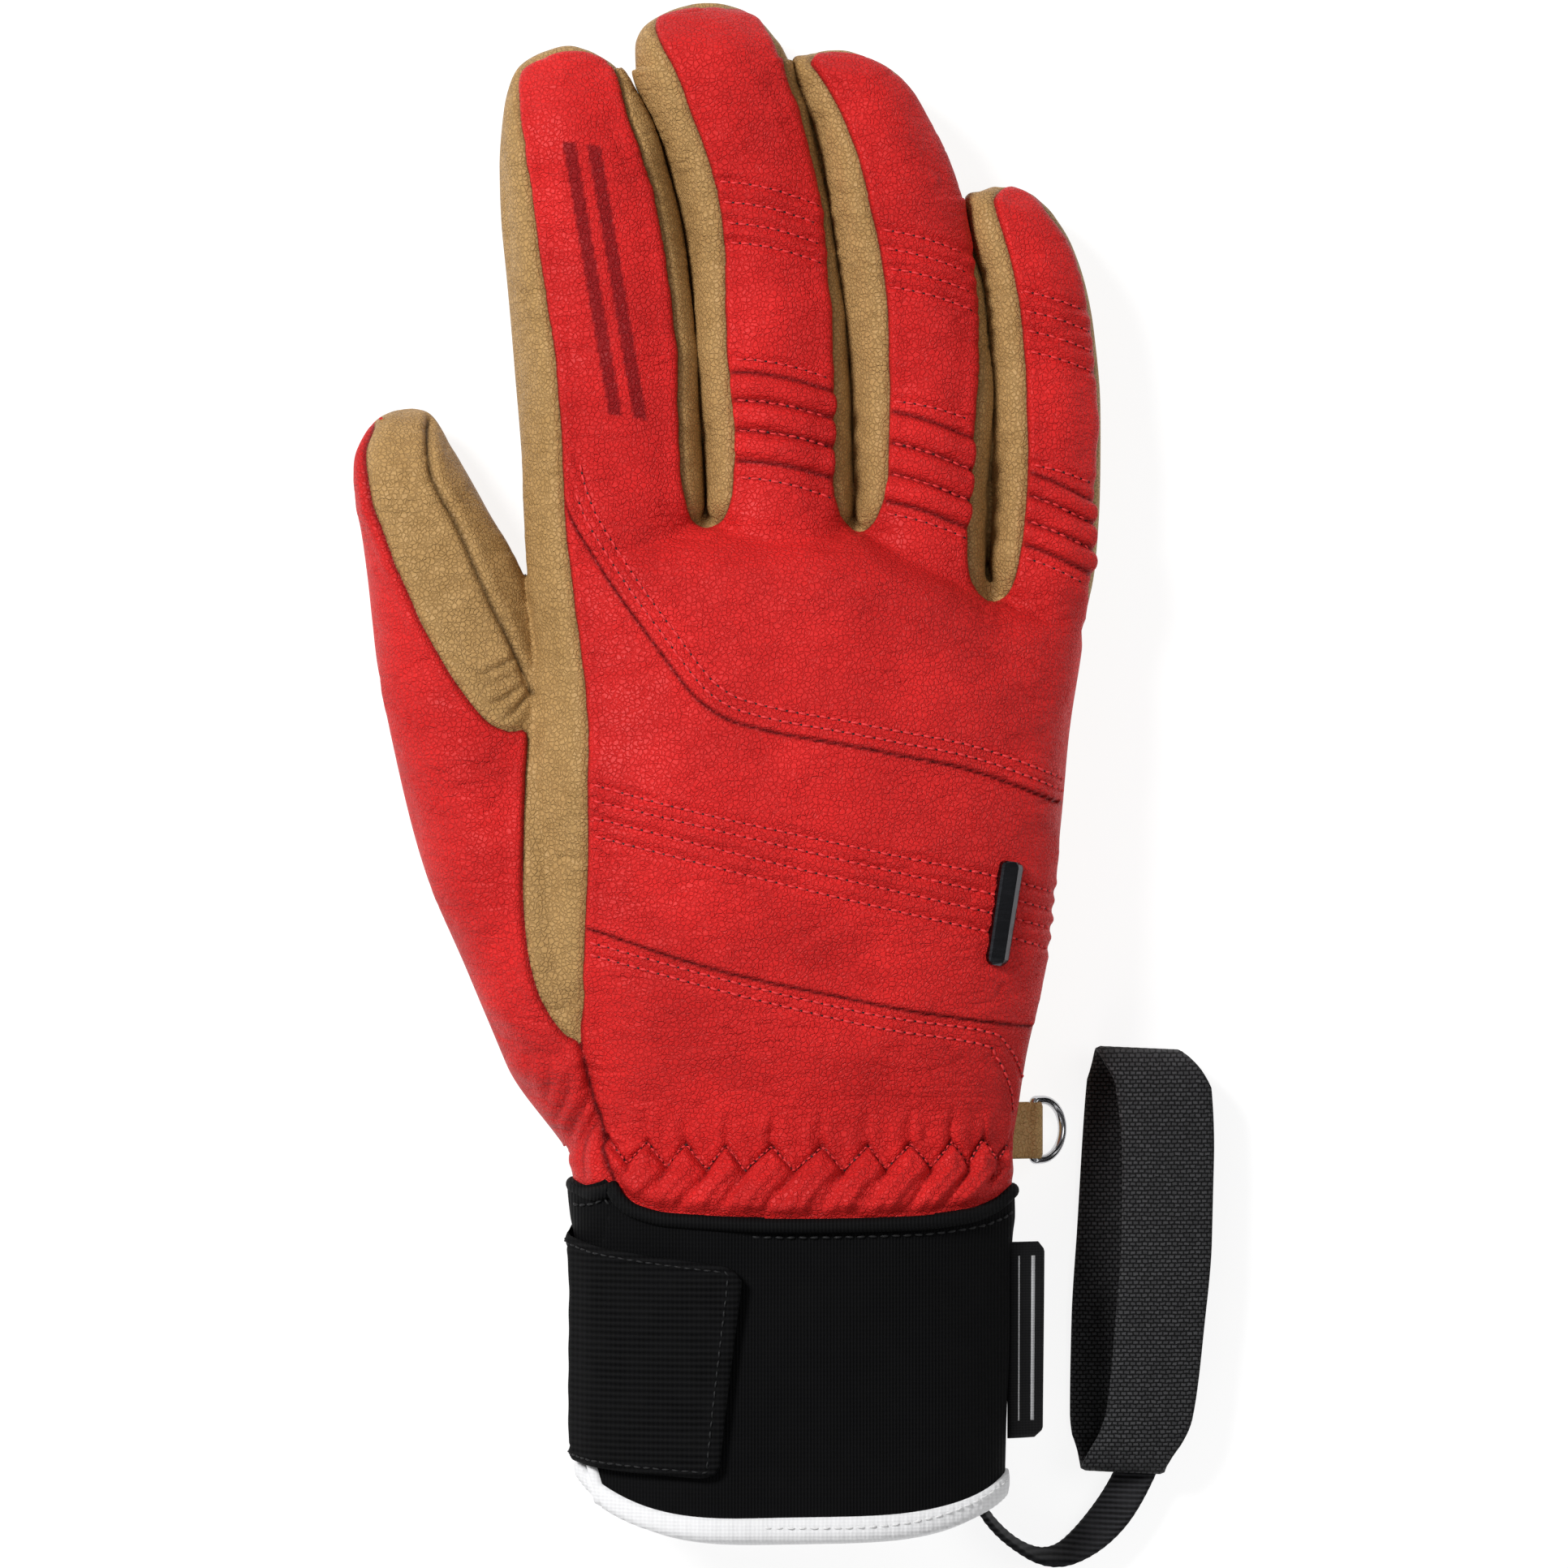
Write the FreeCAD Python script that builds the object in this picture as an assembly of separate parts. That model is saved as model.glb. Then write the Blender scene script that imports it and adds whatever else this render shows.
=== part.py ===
import FreeCAD, Part
import math
import os

V = FreeCAD.Vector
os.makedirs("parts", exist_ok=True)

# ---------------------------------------------------------------- sizes (mm)
# Frame: +Z up off the table, +Y towards the fingertips, -X towards the thumb.
leather = 1.4             # outer leather panels
membrane_at = 1.5         # depth of the waterproof membrane below the surface
membrane_thick = 0.35
filling_at = 1.95         # depth of the insulation
filling_thick = 2.3
lining_at = 4.35          # depth of the hand lining
lining_thick = 1.0
finger_lining_at = 1.5
finger_lining_thick = 1.9
neoprene = 3.0            # cuff sleeve
patch_high = 6.0          # the palm reinforcement is flat below and fills up to the palm

curl_limit = 70.0         # finger flexion, degrees
lift_limit = 15.0         # finger extension past rest, degrees
thumb_out = 22.0          # thumb swing away from the index finger, degrees
thumb_in = 6.0            # thumb swing towards it, degrees
joint_gap = 0.6           # half of the clearance left at each bending line

# hand stations: y, left, right, bottom, top
hand = [
    (62.0, -38.5, 71.8, 2.8, 33.0),
    (46.0, -38.3, 71.6, 2.6, 35.5),
    (38.0, -37.8, 71.1, 2.2, 37.5),
    (22.0, -36.4, 68.7, 1.7, 40.5),
    (7.0, -37.6, 66.7, 1.4, 42.5),
    (-9.0, -38.0, 64.6, 1.3, 43.5),
    (-24.0, -38.2, 62.3, 1.3, 43.5),
    (-40.0, -36.4, 60.5, 1.4, 42.5),
    (-55.0, -32.0, 57.0, 1.5, 41.0),
    (-70.0, -29.6, 55.0, 1.6, 39.5),
    (-88.0, -28.6, 54.6, 1.2, 40.5),
]
# cuff stations: y, left, right, bottom, top
cuff = [
    (-82.0, -28.2, 54.2, 1.4, 40.5),
    (-100.0, -27.7, 54.3, 0.8, 42.0),
    (-120.0, -27.4, 53.5, 0.6, 43.5),
    (-146.2, -27.2, 52.8, 0.8, 45.0),
]
cuff_top_y = -84.5
cuff_end_y = -146.0
hem_width = 4.6

# front edge of the hand, where the fingers leave it: x, y
front_edge = [(-70.0, 47.0), (-4.0, 46.5), (25.0, 45.0), (51.0, 33.0), (90.0, 31.0)]
# seam from the index finger down across the back of the hand
upper_seam = [(-70.0, 70.0), (-31.0, 52.0), (-20.0, 34.0), (-7.0, 16.0), (1.0, 9.0),
              (24.0, 4.0), (47.0, -1.0), (64.0, -7.0), (90.0, -12.0)]
# seam between the back of the hand and the gathered wrist panel
lower_seam = [(-70.0, -28.0), (-27.0, -30.4), (0.0, -38.0), (30.0, -45.0), (52.0, -48.6), (90.0, -50.0)]
back_split_z = 11.0       # where the red back meets the palm
radial_split_x = -27.0    # where the red back meets the thumb-side strip
wrist_y = -84.0

# finger stations: y, left, right (bottom and top come from the thickness)
fingers = {
    "index": {
        "edges": [(34.0, -37.4, -5.0), (53.0, -38.7, -4.8), (77.0, -40.6, -6.3), (100.0, -42.6, -8.5),
                  (115.0, -43.4, -12.2), (123.0, -42.8, -14.8), (130.0, -41.6, -18.9),
                  (134.0, -39.6, -21.6), (136.6, -36.0, -25.4), (137.5, -33.2, -28.2)],
        "tip_from": 4, "thick": 29.0, "low": 1.2, "hinge": (-21.9, 60.0), "lean": 4.5,
        "pleats": None,
    },
    "middle": {
        "edges": [(34.0, -2.8, 24.6), (53.0, -3.4, 24.4), (69.0, -4.6, 24.0), (84.0, -5.3, 23.2),
                  (100.0, -7.0, 21.7), (115.0, -10.4, 20.0), (123.0, -12.9, 17.2), (131.0, -16.6, 13.4),
                  (137.0, -17.3, 10.7), (141.7, -15.6, 7.4), (145.0, -10.6, 3.0), (146.2, -6.5, -0.6)],
        "tip_from": 6, "thick": 28.0, "low": 1.2, "hinge": (10.3, 60.0), "lean": 4.0,
        "pleats": (63.5, 73.5),
    },
    "ring": {
        "edges": [(34.0, 25.8, 50.2), (53.0, 25.4, 50.8), (69.0, 24.9, 52.2), (84.0, 24.2, 51.6),
                  (100.0, 22.8, 49.3), (108.0, 21.7, 47.6), (115.0, 21.0, 44.6), (123.0, 18.4, 40.6),
                  (131.0, 14.5, 35.0), (134.4, 14.6, 30.6), (136.3, 17.0, 26.0), (137.0, 19.0, 23.4)],
        "tip_from": 7, "thick": 27.0, "low": 1.2, "hinge": (38.0, 56.0), "lean": 2.6,
        "pleats": (59.5, 67.5),
    },
    "little": {
        "edges": [(22.0, 51.4, 70.6), (38.0, 51.6, 71.0), (53.0, 52.0, 71.8), (69.0, 53.4, 71.6),
                  (84.0, 52.8, 70.2), (92.0, 51.6, 68.7), (100.0, 50.2, 66.2), (106.0, 49.0, 62.4),
                  (109.4, 50.2, 59.4), (110.8, 52.2, 57.0)],
        "tip_from": 6, "thick": 24.0, "low": 1.4, "hinge": (61.6, 46.0), "lean": 4.4,
        "pleats": (49.5, 56.5),
    },
}
hinge_height = 11.5       # height of the four finger bending axes

# thumb stations: x, y, half width, half height
thumb = [
    (-63.4, 68.2, 3.0, 3.0),
    (-63.2, 67.0, 5.6, 5.4),
    (-62.8, 64.0, 8.6, 8.4),
    (-62.0, 60.0, 10.8, 10.6),
    (-60.4, 54.0, 12.2, 12.0),
    (-56.5, 40.0, 13.2, 13.0),
    (-52.8, 24.0, 14.0, 14.0),
    (-48.4, 5.0, 15.0, 15.2),
    (-42.8, -14.0, 15.8, 16.0),
    (-35.4, -33.0, 15.2, 15.8),
    (-28.0, -52.0, 14.6, 15.0),
]
thumb_low = 1.2
thumb_hinge = (-52.3, 22.7)
thumb_lean = 13.0

tab_left_z = 23.0         # height at which the closure tab is sewn on
tab_y = (-134.0, -87.5)
tab_right_x = 2.4
slit_x = (-25.5, -22.5)

ring_bar_x = 58.9
ring_bar_z = 9.0
ring_y = (-76.6, -63.4)
ring_wire = 0.85          # wire radius
ring_reach = 10.0         # bar centre to bow centre

leash_x = (68.0, 74.8)    # lower and upper band, left edges half way along
leash_skew = 0.06         # sideways per millimetre along
leash_width = 17.4
leash_y = (-134.5, -54.2)
leash_thick = 1.4
leash_height = 12.5
tape_width = 8.0
tape_thick = 1.2
tape_floor = 0.4
tape_route = [(44.0, -129.5), (47.5, -141.5), (54.0, -149.5), (62.5, -153.6), (70.5, -148.8),
              (77.5, -139.8), (81.0, -131.0)]


# ------------------------------------------------------------------- helpers
def closed_curve(points):
    curve = Part.BSplineCurve()
    curve.interpolate(Points=points, PeriodicFlag=True)
    return Part.Wire([curve.toShape()])


def oval_points(centre, across, half_w, half_h, power, count=20):
    points = []
    for i in range(count):
        a = 2.0 * math.pi * (i + 0.5) / count
        c, s = math.cos(a), math.sin(a)
        u = math.copysign(abs(c) ** (2.0 / power), c) * half_w
        v = math.copysign(abs(s) ** (2.0 / power), s) * half_h
        points.append(centre + across * u + V(0, 0, v))
    return points


def slopes(stations, col):
    """Slopes that keep a curve through the stations from overshooting."""
    n = len(stations)
    step = []
    for i in range(n - 1):
        dy = stations[i + 1][0] - stations[i][0]
        step.append((stations[i + 1][col] - stations[i][col]) / dy)
    out = [step[0]]
    for i in range(1, n - 1):
        a, b = step[i - 1], step[i]
        out.append(0.0 if a * b <= 0 else 2.0 * a * b / (a + b))
    out.append(step[-1])
    return out


def between(stations, i, t, slope, col):
    h = stations[i + 1][0] - stations[i][0]
    p0, p1 = stations[i][col], stations[i + 1][col]
    m0, m1 = slope[i] * h, slope[i + 1] * h
    a = 2 * t ** 3 - 3 * t ** 2 + 1
    b = t ** 3 - 2 * t ** 2 + t
    c = -2 * t ** 3 + 3 * t ** 2
    d = t ** 3 - t ** 2
    return a * p0 + b * m0 + c * p1 + d * m1


def denser(stations, spacing=6.0):
    """The stations with smooth ones added wherever they are far apart."""
    width = len(stations[0])
    curves = [None] + [slopes(stations, col) for col in range(1, width)]
    out = []
    for i in range(len(stations) - 1):
        gap = abs(stations[i + 1][0] - stations[i][0])
        parts = max(1, int(round(gap / spacing)))
        for k in range(parts):
            t = k / parts
            row = [stations[i][0] + (stations[i + 1][0] - stations[i][0]) * t]
            for col in range(1, width):
                row.append(between(stations, i, t, curves[col], col))
            out.append(tuple(row))
    out.append(stations[-1])
    return out


def tube(stations, depth, power=2.5):
    """Solid lofted through ovals standing across Y, all pulled in by depth."""
    wires = []
    for y, x0, x1, z0, z1 in denser(stations):
        centre = V((x0 + x1) / 2, y, (z0 + z1) / 2)
        wires.append(closed_curve(oval_points(
            centre, V(1, 0, 0), (x1 - x0) / 2 - depth, (z1 - z0) / 2 - depth, power)))
    return Part.makeLoft(wires, True, True, False)


def prism_xy(points, z0=-20.0, z1=80.0):
    ring = [V(x, y, z0) for x, y in points]
    ring.append(ring[0])
    return Part.Face(Part.makePolygon(ring)).extrude(V(0, 0, z1 - z0))


def prism_yz(points, x0=-120.0, x1=120.0):
    ring = [V(x0, y, z) for y, z in points]
    ring.append(ring[0])
    return Part.Face(Part.makePolygon(ring)).extrude(V(x1 - x0, 0, 0))


def box(x0, x1, y0, y1, z0, z1):
    return Part.makeBox(x1 - x0, y1 - y0, z1 - z0, V(x0, y0, z0))


def largest(shape):
    solids = sorted(shape.Solids, key=lambda s: s.Volume)
    return solids[-1]


def save(name, shape):
    solid = largest(shape)
    if not solid.isValid():
        solid.fix(0.01, 0.01, 0.01)
    solid.exportStep("parts/" + name + ".step")


def below(line, far=-300.0):
    """Plan region on the wrist side of a seam line."""
    return prism_xy(list(line) + [(line[-1][0], far), (line[0][0], far)])


def shifted(line, dy):
    return [(x, y + dy) for x, y in line]


# ------------------------------------------------------------------- fingers
def finger_stations(f, depth):
    edges = f["edges"]
    k = f["tip_from"]
    y0 = edges[k][0]
    tip = edges[-1][0]
    wide = (edges[k][2] - edges[k][1]) / 2
    stations = []
    for i, (y, x0, x1) in enumerate(edges):
        half = (x1 - x0) / 2
        mid = (x0 + x1) / 2
        high = f["thick"] / 2
        if i > k:
            high *= half / wide
            y = y0 + (y - y0) * (tip - y0 - depth) / (tip - y0)
            half *= (wide - depth) / wide
            high *= (f["thick"] / 2 - depth) / (f["thick"] / 2)
        else:
            half -= depth
            high -= depth
        centre = f["low"] + f["thick"] / 2
        if i > k:
            centre -= (1.0 - half / wide) * 2.0
        stations.append((y, mid - half, mid + half, centre - high, centre + high))
    return stations


def bend_region(point, lean, distal):
    """Everything beyond (or before) a V-shaped bending line across a finger."""
    side = 1.0 if distal else -1.0
    low = math.tan(math.radians(curl_limit / 2 + 1.0))
    high = math.tan(math.radians(lift_limit / 2 + 0.8))
    z = hinge_height
    outline = [(side * joint_gap, z), (side * (joint_gap + high * 40.0), z + 40.0),
               (side * 150.0, z + 40.0), (side * 150.0, z - 30.0),
               (side * (joint_gap + low * 30.0), z - 30.0)]
    region = prism_yz(outline, -40.0, 40.0)
    region.rotate(V(0, 0, 0), V(0, 0, 1), lean)
    region.translate(V(point[0], point[1], 0))
    return region


def build_finger(name, f, hand_outer):
    outer = tube(finger_stations(f, 0.0), 0.0, 2.2)
    inner = tube(finger_stations(f, leather), 0.0, 2.2)
    shell = outer.cut(inner)
    distal = bend_region(f["hinge"], f["lean"], True)
    near = bend_region(f["hinge"], f["lean"], False)

    mid = f["low"] + f["thick"] / 2
    z_up = mid + 0.40 * f["thick"] / 2
    z_dn = mid - 0.30 * f["thick"] / 2
    start = f["edges"][0][0] - 10.0
    end = f["edges"][-1][0] - 9.5
    back = prism_yz([(start, z_up), (end, z_up), (end, z_dn), (end + 20, z_dn), (end + 20, 60), (start, 60)])
    side = prism_yz([(start, z_dn), (end, z_dn), (end, z_up), (start, z_up)])
    front = prism_yz([(start, -20), (end + 20, -20), (end + 20, z_dn), (start, z_dn)])

    leather_far = shell.common(distal)
    save(name + "_back", leather_far.common(back))
    save(name + "_front", leather_far.common(front))
    sides = sorted(leather_far.common(side).Solids, key=lambda s: -s.Volume)[:2]
    sides.sort(key=lambda s: s.CenterOfMass.x)
    save(name + "_side_radial", sides[0])
    save(name + "_side_ulnar", sides[1])

    lining_out = tube(finger_stations(f, finger_lining_at), 0.0, 2.2)
    hollow = tube(finger_stations(f, finger_lining_at + finger_lining_thick), 0.0, 2.2)
    save(name + "_lining", lining_out.cut(hollow).common(distal))

    save(name + "_base", shell.common(near).cut(hand_outer))
    if f["pleats"]:
        pleat_pad(name, f, outer)
    return inner


def pleat_pad(name, f, outer):
    """Raised ribbed panel over the first knuckle: three rolls, two grooves."""
    y0, y1 = f["pleats"]
    grown = tube(finger_stations(f, -1.3), 0.0, 2.2)
    skin = tube(finger_stations(f, -0.08), 0.0, 2.2)
    groove = tube(finger_stations(f, -0.6), 0.0, 2.2)
    top = f["low"] + f["thick"] * 0.84
    band = grown.cut(skin).common(box(-60, 90, y0, y1, top, 60))
    pitch = (y1 - y0) / 3.0
    for i in (1, 2):
        cut = box(-60, 90, y0 + pitch * i - 0.5, y0 + pitch * i + 0.5, top - 1, 60).cut(groove)
        band = band.cut(cut)
    save(name + "_knuckle_pleats", band)


# --------------------------------------------------------------------- thumb
def thumb_tube(depth):
    wires = []
    tip = thumb[3]
    for i, (x, y, w, h) in enumerate(thumb):
        if i < 3:
            k = (tip[2] - depth) / tip[2]
            x = tip[0] + (x - tip[0]) * k
            y = tip[1] + (y - tip[1]) * k
            w, h = w * k, h * k
        else:
            w, h = w - depth, h - depth
        before = thumb[max(i - 1, 0)]
        after = thumb[min(i + 1, len(thumb) - 1)]
        along = V(before[0] - after[0], before[1] - after[1], 0)
        along.normalize()
        across = V(along.y, -along.x, 0)
        low = thumb_low + max(0.0, (15.0 - thumb[i][3]) * 0.25)
        centre = V(x, y, low + thumb[i][3])
        wires.append(closed_curve(oval_points(centre, across, w, h, 2.2)))
    return Part.makeLoft(wires, True, True, False)


def thumb_region(distal):
    side = 1.0 if distal else -1.0
    outer = math.tan(math.radians(thumb_out / 2 + 1.0))
    inner = math.tan(math.radians(thumb_in / 2 + 1.5))
    outline = [(0.0, side * joint_gap), (-40.0, side * (joint_gap + outer * 40.0)),
               (-40.0, side * 140.0), (40.0, side * 140.0), (40.0, side * (joint_gap + inner * 40.0))]
    region = prism_xy(outline)
    region.rotate(V(0, 0, 0), V(0, 0, 1), thumb_lean)
    region.translate(V(thumb_hinge[0], thumb_hinge[1], 0))
    return region


def build_thumb(hand_outer):
    outer = thumb_tube(0.0)
    inner = thumb_tube(leather)
    shell = outer.cut(inner)
    far = shell.common(thumb_region(True)).cut(hand_outer)
    turn = thumb_lean
    split = prism_xy([(-60, -80), (-3.5, -80), (-3.5, 41.5), (-60, 41.5)])
    split.rotate(V(0, 0, 0), V(0, 0, 1), turn)
    split.translate(V(thumb_hinge[0], thumb_hinge[1], 0))
    upper = box(-120, 0, -60, 90, 11.0, 60)
    save("thumb_back", far.common(upper).common(split))
    save("thumb_front", far.common(upper).cut(split))
    save("thumb_palm_side", far.cut(upper))
    lining = thumb_tube(finger_lining_at).cut(thumb_tube(finger_lining_at + finger_lining_thick))
    save("thumb_lining", lining.common(thumb_region(True)).cut(hand_outer))
    root = shell.common(thumb_region(False)).cut(hand_outer)
    save("thumb_base_back", root.common(upper))
    save("thumb_base_palm", root.cut(upper))
    return inner


# ---------------------------------------------------------------------- hand
def hand_solid(depth):
    return tube(hand, depth).common(below(shifted(front_edge, -depth)))


def opened(layer, holes):
    for hole in holes:
        layer = layer.cut(hole)
    return layer


def build_hand(outer, holes):
    skin = outer.cut(hand_solid(leather))
    skin = opened(skin, holes).common(box(-120, 120, wrist_y, 200, -10, 100))
    upper_half = box(-120, 120, -200, 200, back_split_z, 100)
    back = skin.common(upper_half)
    strip_box = box(-120, radial_split_x, -52.0, 200, -10, 100)
    save("side_strip", back.common(strip_box))
    back = back.cut(strip_box)
    above_seam = back.cut(below(upper_seam))
    under_seam = back.common(below(upper_seam))
    save("hand_back_upper", above_seam)
    save("hand_back_middle", under_seam.cut(below(lower_seam)))
    save("hand_back_wrist", under_seam.common(below(lower_seam)))
    save("palm", skin.cut(upper_half))

    inside = box(-120, 120, -62.0, 200, -10, 100)
    layer = hand_solid(membrane_at).cut(hand_solid(membrane_at + membrane_thick))
    save("membrane", opened(layer.common(inside), holes))
    layer = hand_solid(filling_at).cut(hand_solid(filling_at + filling_thick))
    save("insulation", opened(layer.common(inside), holes))
    layer = hand_solid(lining_at).cut(hand_solid(lining_at + lining_thick))
    save("hand_lining", opened(layer.common(box(-120, 120, -80, 200, -10, 100)), holes))

    elastic = hand_solid(filling_at).cut(hand_solid(filling_at + 1.6))
    elastic = elastic.common(box(-120, 120, -74.0, -64.0, -10, 100))
    save("wrist_elastic", elastic)


def build_palm_patch():
    patch = box(-20.0, 46.0, -44.0, 30.0, 0.0, patch_high)
    edges = [e for e in patch.Edges if abs(e.BoundBox.ZLength - patch_high) < 0.01]
    patch = patch.makeFillet(12.0, edges)
    save("palm_patch", patch.cut(tube(hand, -0.06)))


# ---------------------------------------------------------------------- cuff
def cuff_solid(depth):
    return tube(cuff, depth, 2.4)


def build_cuff():
    sleeve = cuff_solid(0.0).cut(cuff_solid(neoprene))
    sleeve = sleeve.common(box(-120, 120, cuff_end_y + hem_width, cuff_top_y - 0.1, -10, 100))
    slit = box(slit_x[0], slit_x[1], -200, -93.0, 24.0, 100)
    save("cuff_sleeve", sleeve.cut(slit))

    hem = cuff_solid(-0.5).cut(cuff_solid(neoprene + 0.5))
    hem = hem.common(box(-120, 120, cuff_end_y, cuff_end_y + hem_width - 0.05, -10, 100))
    save("hem_binding", hem.cut(slit))

    lap = cuff_solid(neoprene + 0.65).cut(cuff_solid(neoprene + 2.4))
    save("cuff_underlap", lap.common(box(-27.0, -10.0, -143.0, -89.0, 26.0, 100)))

    rim = cuff_solid(-0.9).cut(cuff_solid(neoprene))
    save("cuff_top_binding", rim.common(box(-120, 120, cuff_top_y, cuff_top_y + 0.45, -10, 100)))

    field = cuff_solid(-0.65).cut(cuff_solid(-0.05))
    save("cuff_loop_patch", field.common(box(-20.0, 0.5, tab_y[0] + 4, tab_y[1] - 4, 26.0, 100)))


def build_tab():
    hook = cuff_solid(-1.5).cut(cuff_solid(-1.05))
    save("tab_hook_patch", hook.common(box(-17.0, -1.0, tab_y[0] + 5, tab_y[1] - 5, 26.0, 100)))
    tab = cuff_solid(-2.8).cut(cuff_solid(-1.55))
    save("closure_tab", tab.common(box(-60.0, tab_right_x, tab_y[0], tab_y[1], tab_left_z, 100)))


def build_side_label():
    label = box(52.0, 61.0, -128.0, -90.8, 20.6, 21.6)
    corner = [e for e in label.Edges if abs(e.BoundBox.ZLength - 1.0) < 0.01 and e.CenterOfMass.x > 60]
    save("side_label", label.makeFillet(1.5, corner).cut(cuff_solid(-0.05)))


# ------------------------------------------------------------- metal fittings
def build_badge():
    bar = Part.makeBox(5.2, 21.0, 1.8, V(-2.6, -10.5, 0))
    top = [e for e in bar.Edges if e.BoundBox.ZMin > 1.7]
    bar = bar.makeChamfer(0.8, top)
    bar.rotate(V(0, 0, 0), V(0, 1, 0), 28.0)
    bar.rotate(V(0, 0, 0), V(0, 0, 1), -7.5)
    bar.translate(V(52.4, -28.4, 37.2))
    save("badge_bar", bar)


def build_ring():
    tilt = math.degrees(math.asin((ring_bar_z - ring_wire - 0.1) / ring_reach))
    y0, y1 = ring_y
    r = (y1 - y0) / 2.0
    mid = (y0 + y1) / 2.0
    a = V(0, -r + ring_wire, 0)
    b = V(0, r - ring_wire, 0)
    straight = 2.6
    c = V(straight, r - ring_wire, 0)
    d = V(straight, -r + ring_wire, 0)
    points = []
    for i in range(13):
        t = math.pi * i / 12.0
        out = straight + (ring_reach - straight) * math.sin(t)
        points.append(V(out, (r - ring_wire) * math.cos(t), 0))
    arc = Part.BSplineCurve()
    arc.interpolate(points)
    bar = Part.makeCylinder(ring_wire, b.y - a.y, a, V(0, 1, 0))
    legs = []
    for p, q in ((b, c), (a, d)):
        legs.append(Part.makeCylinder(ring_wire, (q - p).Length, p, q - p))
        legs.append(Part.makeSphere(ring_wire, p))
        legs.append(Part.makeSphere(ring_wire, q))
    circle = Part.Wire([Part.makeCircle(ring_wire, points[0], V(1, 0, 0))])
    sweep = Part.Wire([arc.toShape()]).makePipeShell([circle], True, False)
    body = bar.fuse(legs + [sweep])
    body.rotate(V(0, 0, 0), V(0, 1, 0), tilt)
    body.translate(V(ring_bar_x, mid, ring_bar_z))
    save("d_ring", body)

    grip = Part.makeCylinder(ring_wire + 1.35, 8.6, V(ring_bar_x, mid - 4.3, ring_bar_z), V(0, 1, 0))
    tail = box(ring_bar_x - 11.0, ring_bar_x, mid - 4.3, mid + 4.3, ring_bar_z - 1.6, ring_bar_z + 2.2)
    hole = Part.makeCylinder(ring_wire + 0.35, 20.0, V(ring_bar_x, mid - 10, ring_bar_z), V(0, 1, 0))
    loop = grip.fuse(tail).cut(hole)
    save("ring_loop", loop.cut(tube(hand, -0.1)))


# --------------------------------------------------------------------- leash
def build_leash():
    y0, y1 = leash_y
    h = leash_height
    t = leash_thick

    def stadium(inset):
        r = h / 2.0 - inset
        a = V(0, y0 + h / 2.0, inset)
        b = V(0, y1 - h / 2.0, inset)
        c = V(0, y1 - h / 2.0, h - inset)
        d = V(0, y0 + h / 2.0, h - inset)
        far = V(0, y1 - h / 2.0 + r, h / 2.0)
        near = V(0, y0 + h / 2.0 - r, h / 2.0)
        edges = [Part.makeLine(a, b), Part.Arc(b, far, c).toShape(),
                 Part.makeLine(c, d), Part.Arc(d, near, a).toShape()]
        return Part.Face(Part.Wire(edges))

    lean = FreeCAD.Matrix()
    lean.A13 = (leash_x[1] - leash_x[0]) / h
    lean.A12 = leash_skew
    place = V(leash_x[0] - leash_skew * (y0 + y1) / 2.0, 0, 0.15)

    def placed(solid):
        out = solid.transformGeometry(lean)
        out.translate(place)
        return out

    whole = placed(stadium(0.0).extrude(V(leash_width, 0, 0)))
    inner = placed(stadium(t).extrude(V(leash_width, 0, 0)))
    save("leash_loop", whole.cut(inner))

    # flat tape on edge, from the underside of the cuff round to the loop
    path = rounded_route([V(x, y, tape_floor) for x, y in tape_route])
    outline = path.makeOffset2D(tape_thick / 2.0)
    tape = Part.Face(outline).extrude(V(0, 0, tape_width))
    save("leash_tape", largest(tape.cut(whole).cut(cuff_solid(0.0))))


def rounded_route(points):
    """Straight runs joined by tangent arcs, each as large as its two runs allow."""
    edges = []
    at = points[0]
    for before, corner, after in zip(points, points[1:], points[2:]):
        back = (before - corner).normalize()
        ahead = (after - corner).normalize()
        reach = 0.45 * min((before - corner).Length, (after - corner).Length)
        half_turn = (math.pi - back.getAngle(ahead)) / 2.0
        radius = reach / math.tan(half_turn)
        start = corner + back * reach
        end = corner + ahead * reach
        middle = (back + ahead).normalize()
        centre = corner + middle * (radius / math.cos(half_turn))
        top = centre - middle * radius
        edges.append(Part.makeLine(at, start))
        edges.append(Part.Arc(start, top, end).toShape())
        at = end
    edges.append(Part.makeLine(at, points[-1]))
    return Part.Wire(edges)


# --------------------------------------------------------------------- build
hand_outer = hand_solid(0.0)
finger_holes = []
for finger_name, finger in fingers.items():
    finger_holes.append(build_finger(finger_name, finger, hand_outer))
finger_holes.append(build_thumb(hand_outer))
build_hand(hand_outer, finger_holes)
build_palm_patch()
build_cuff()
build_tab()
build_side_label()
build_badge()
build_ring()
build_leash()
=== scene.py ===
import math

import bpy
import numpy as np
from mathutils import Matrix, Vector
from mathutils.bvhtree import BVHTree
from mathutils.noise import noise as lattice_noise

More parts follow.
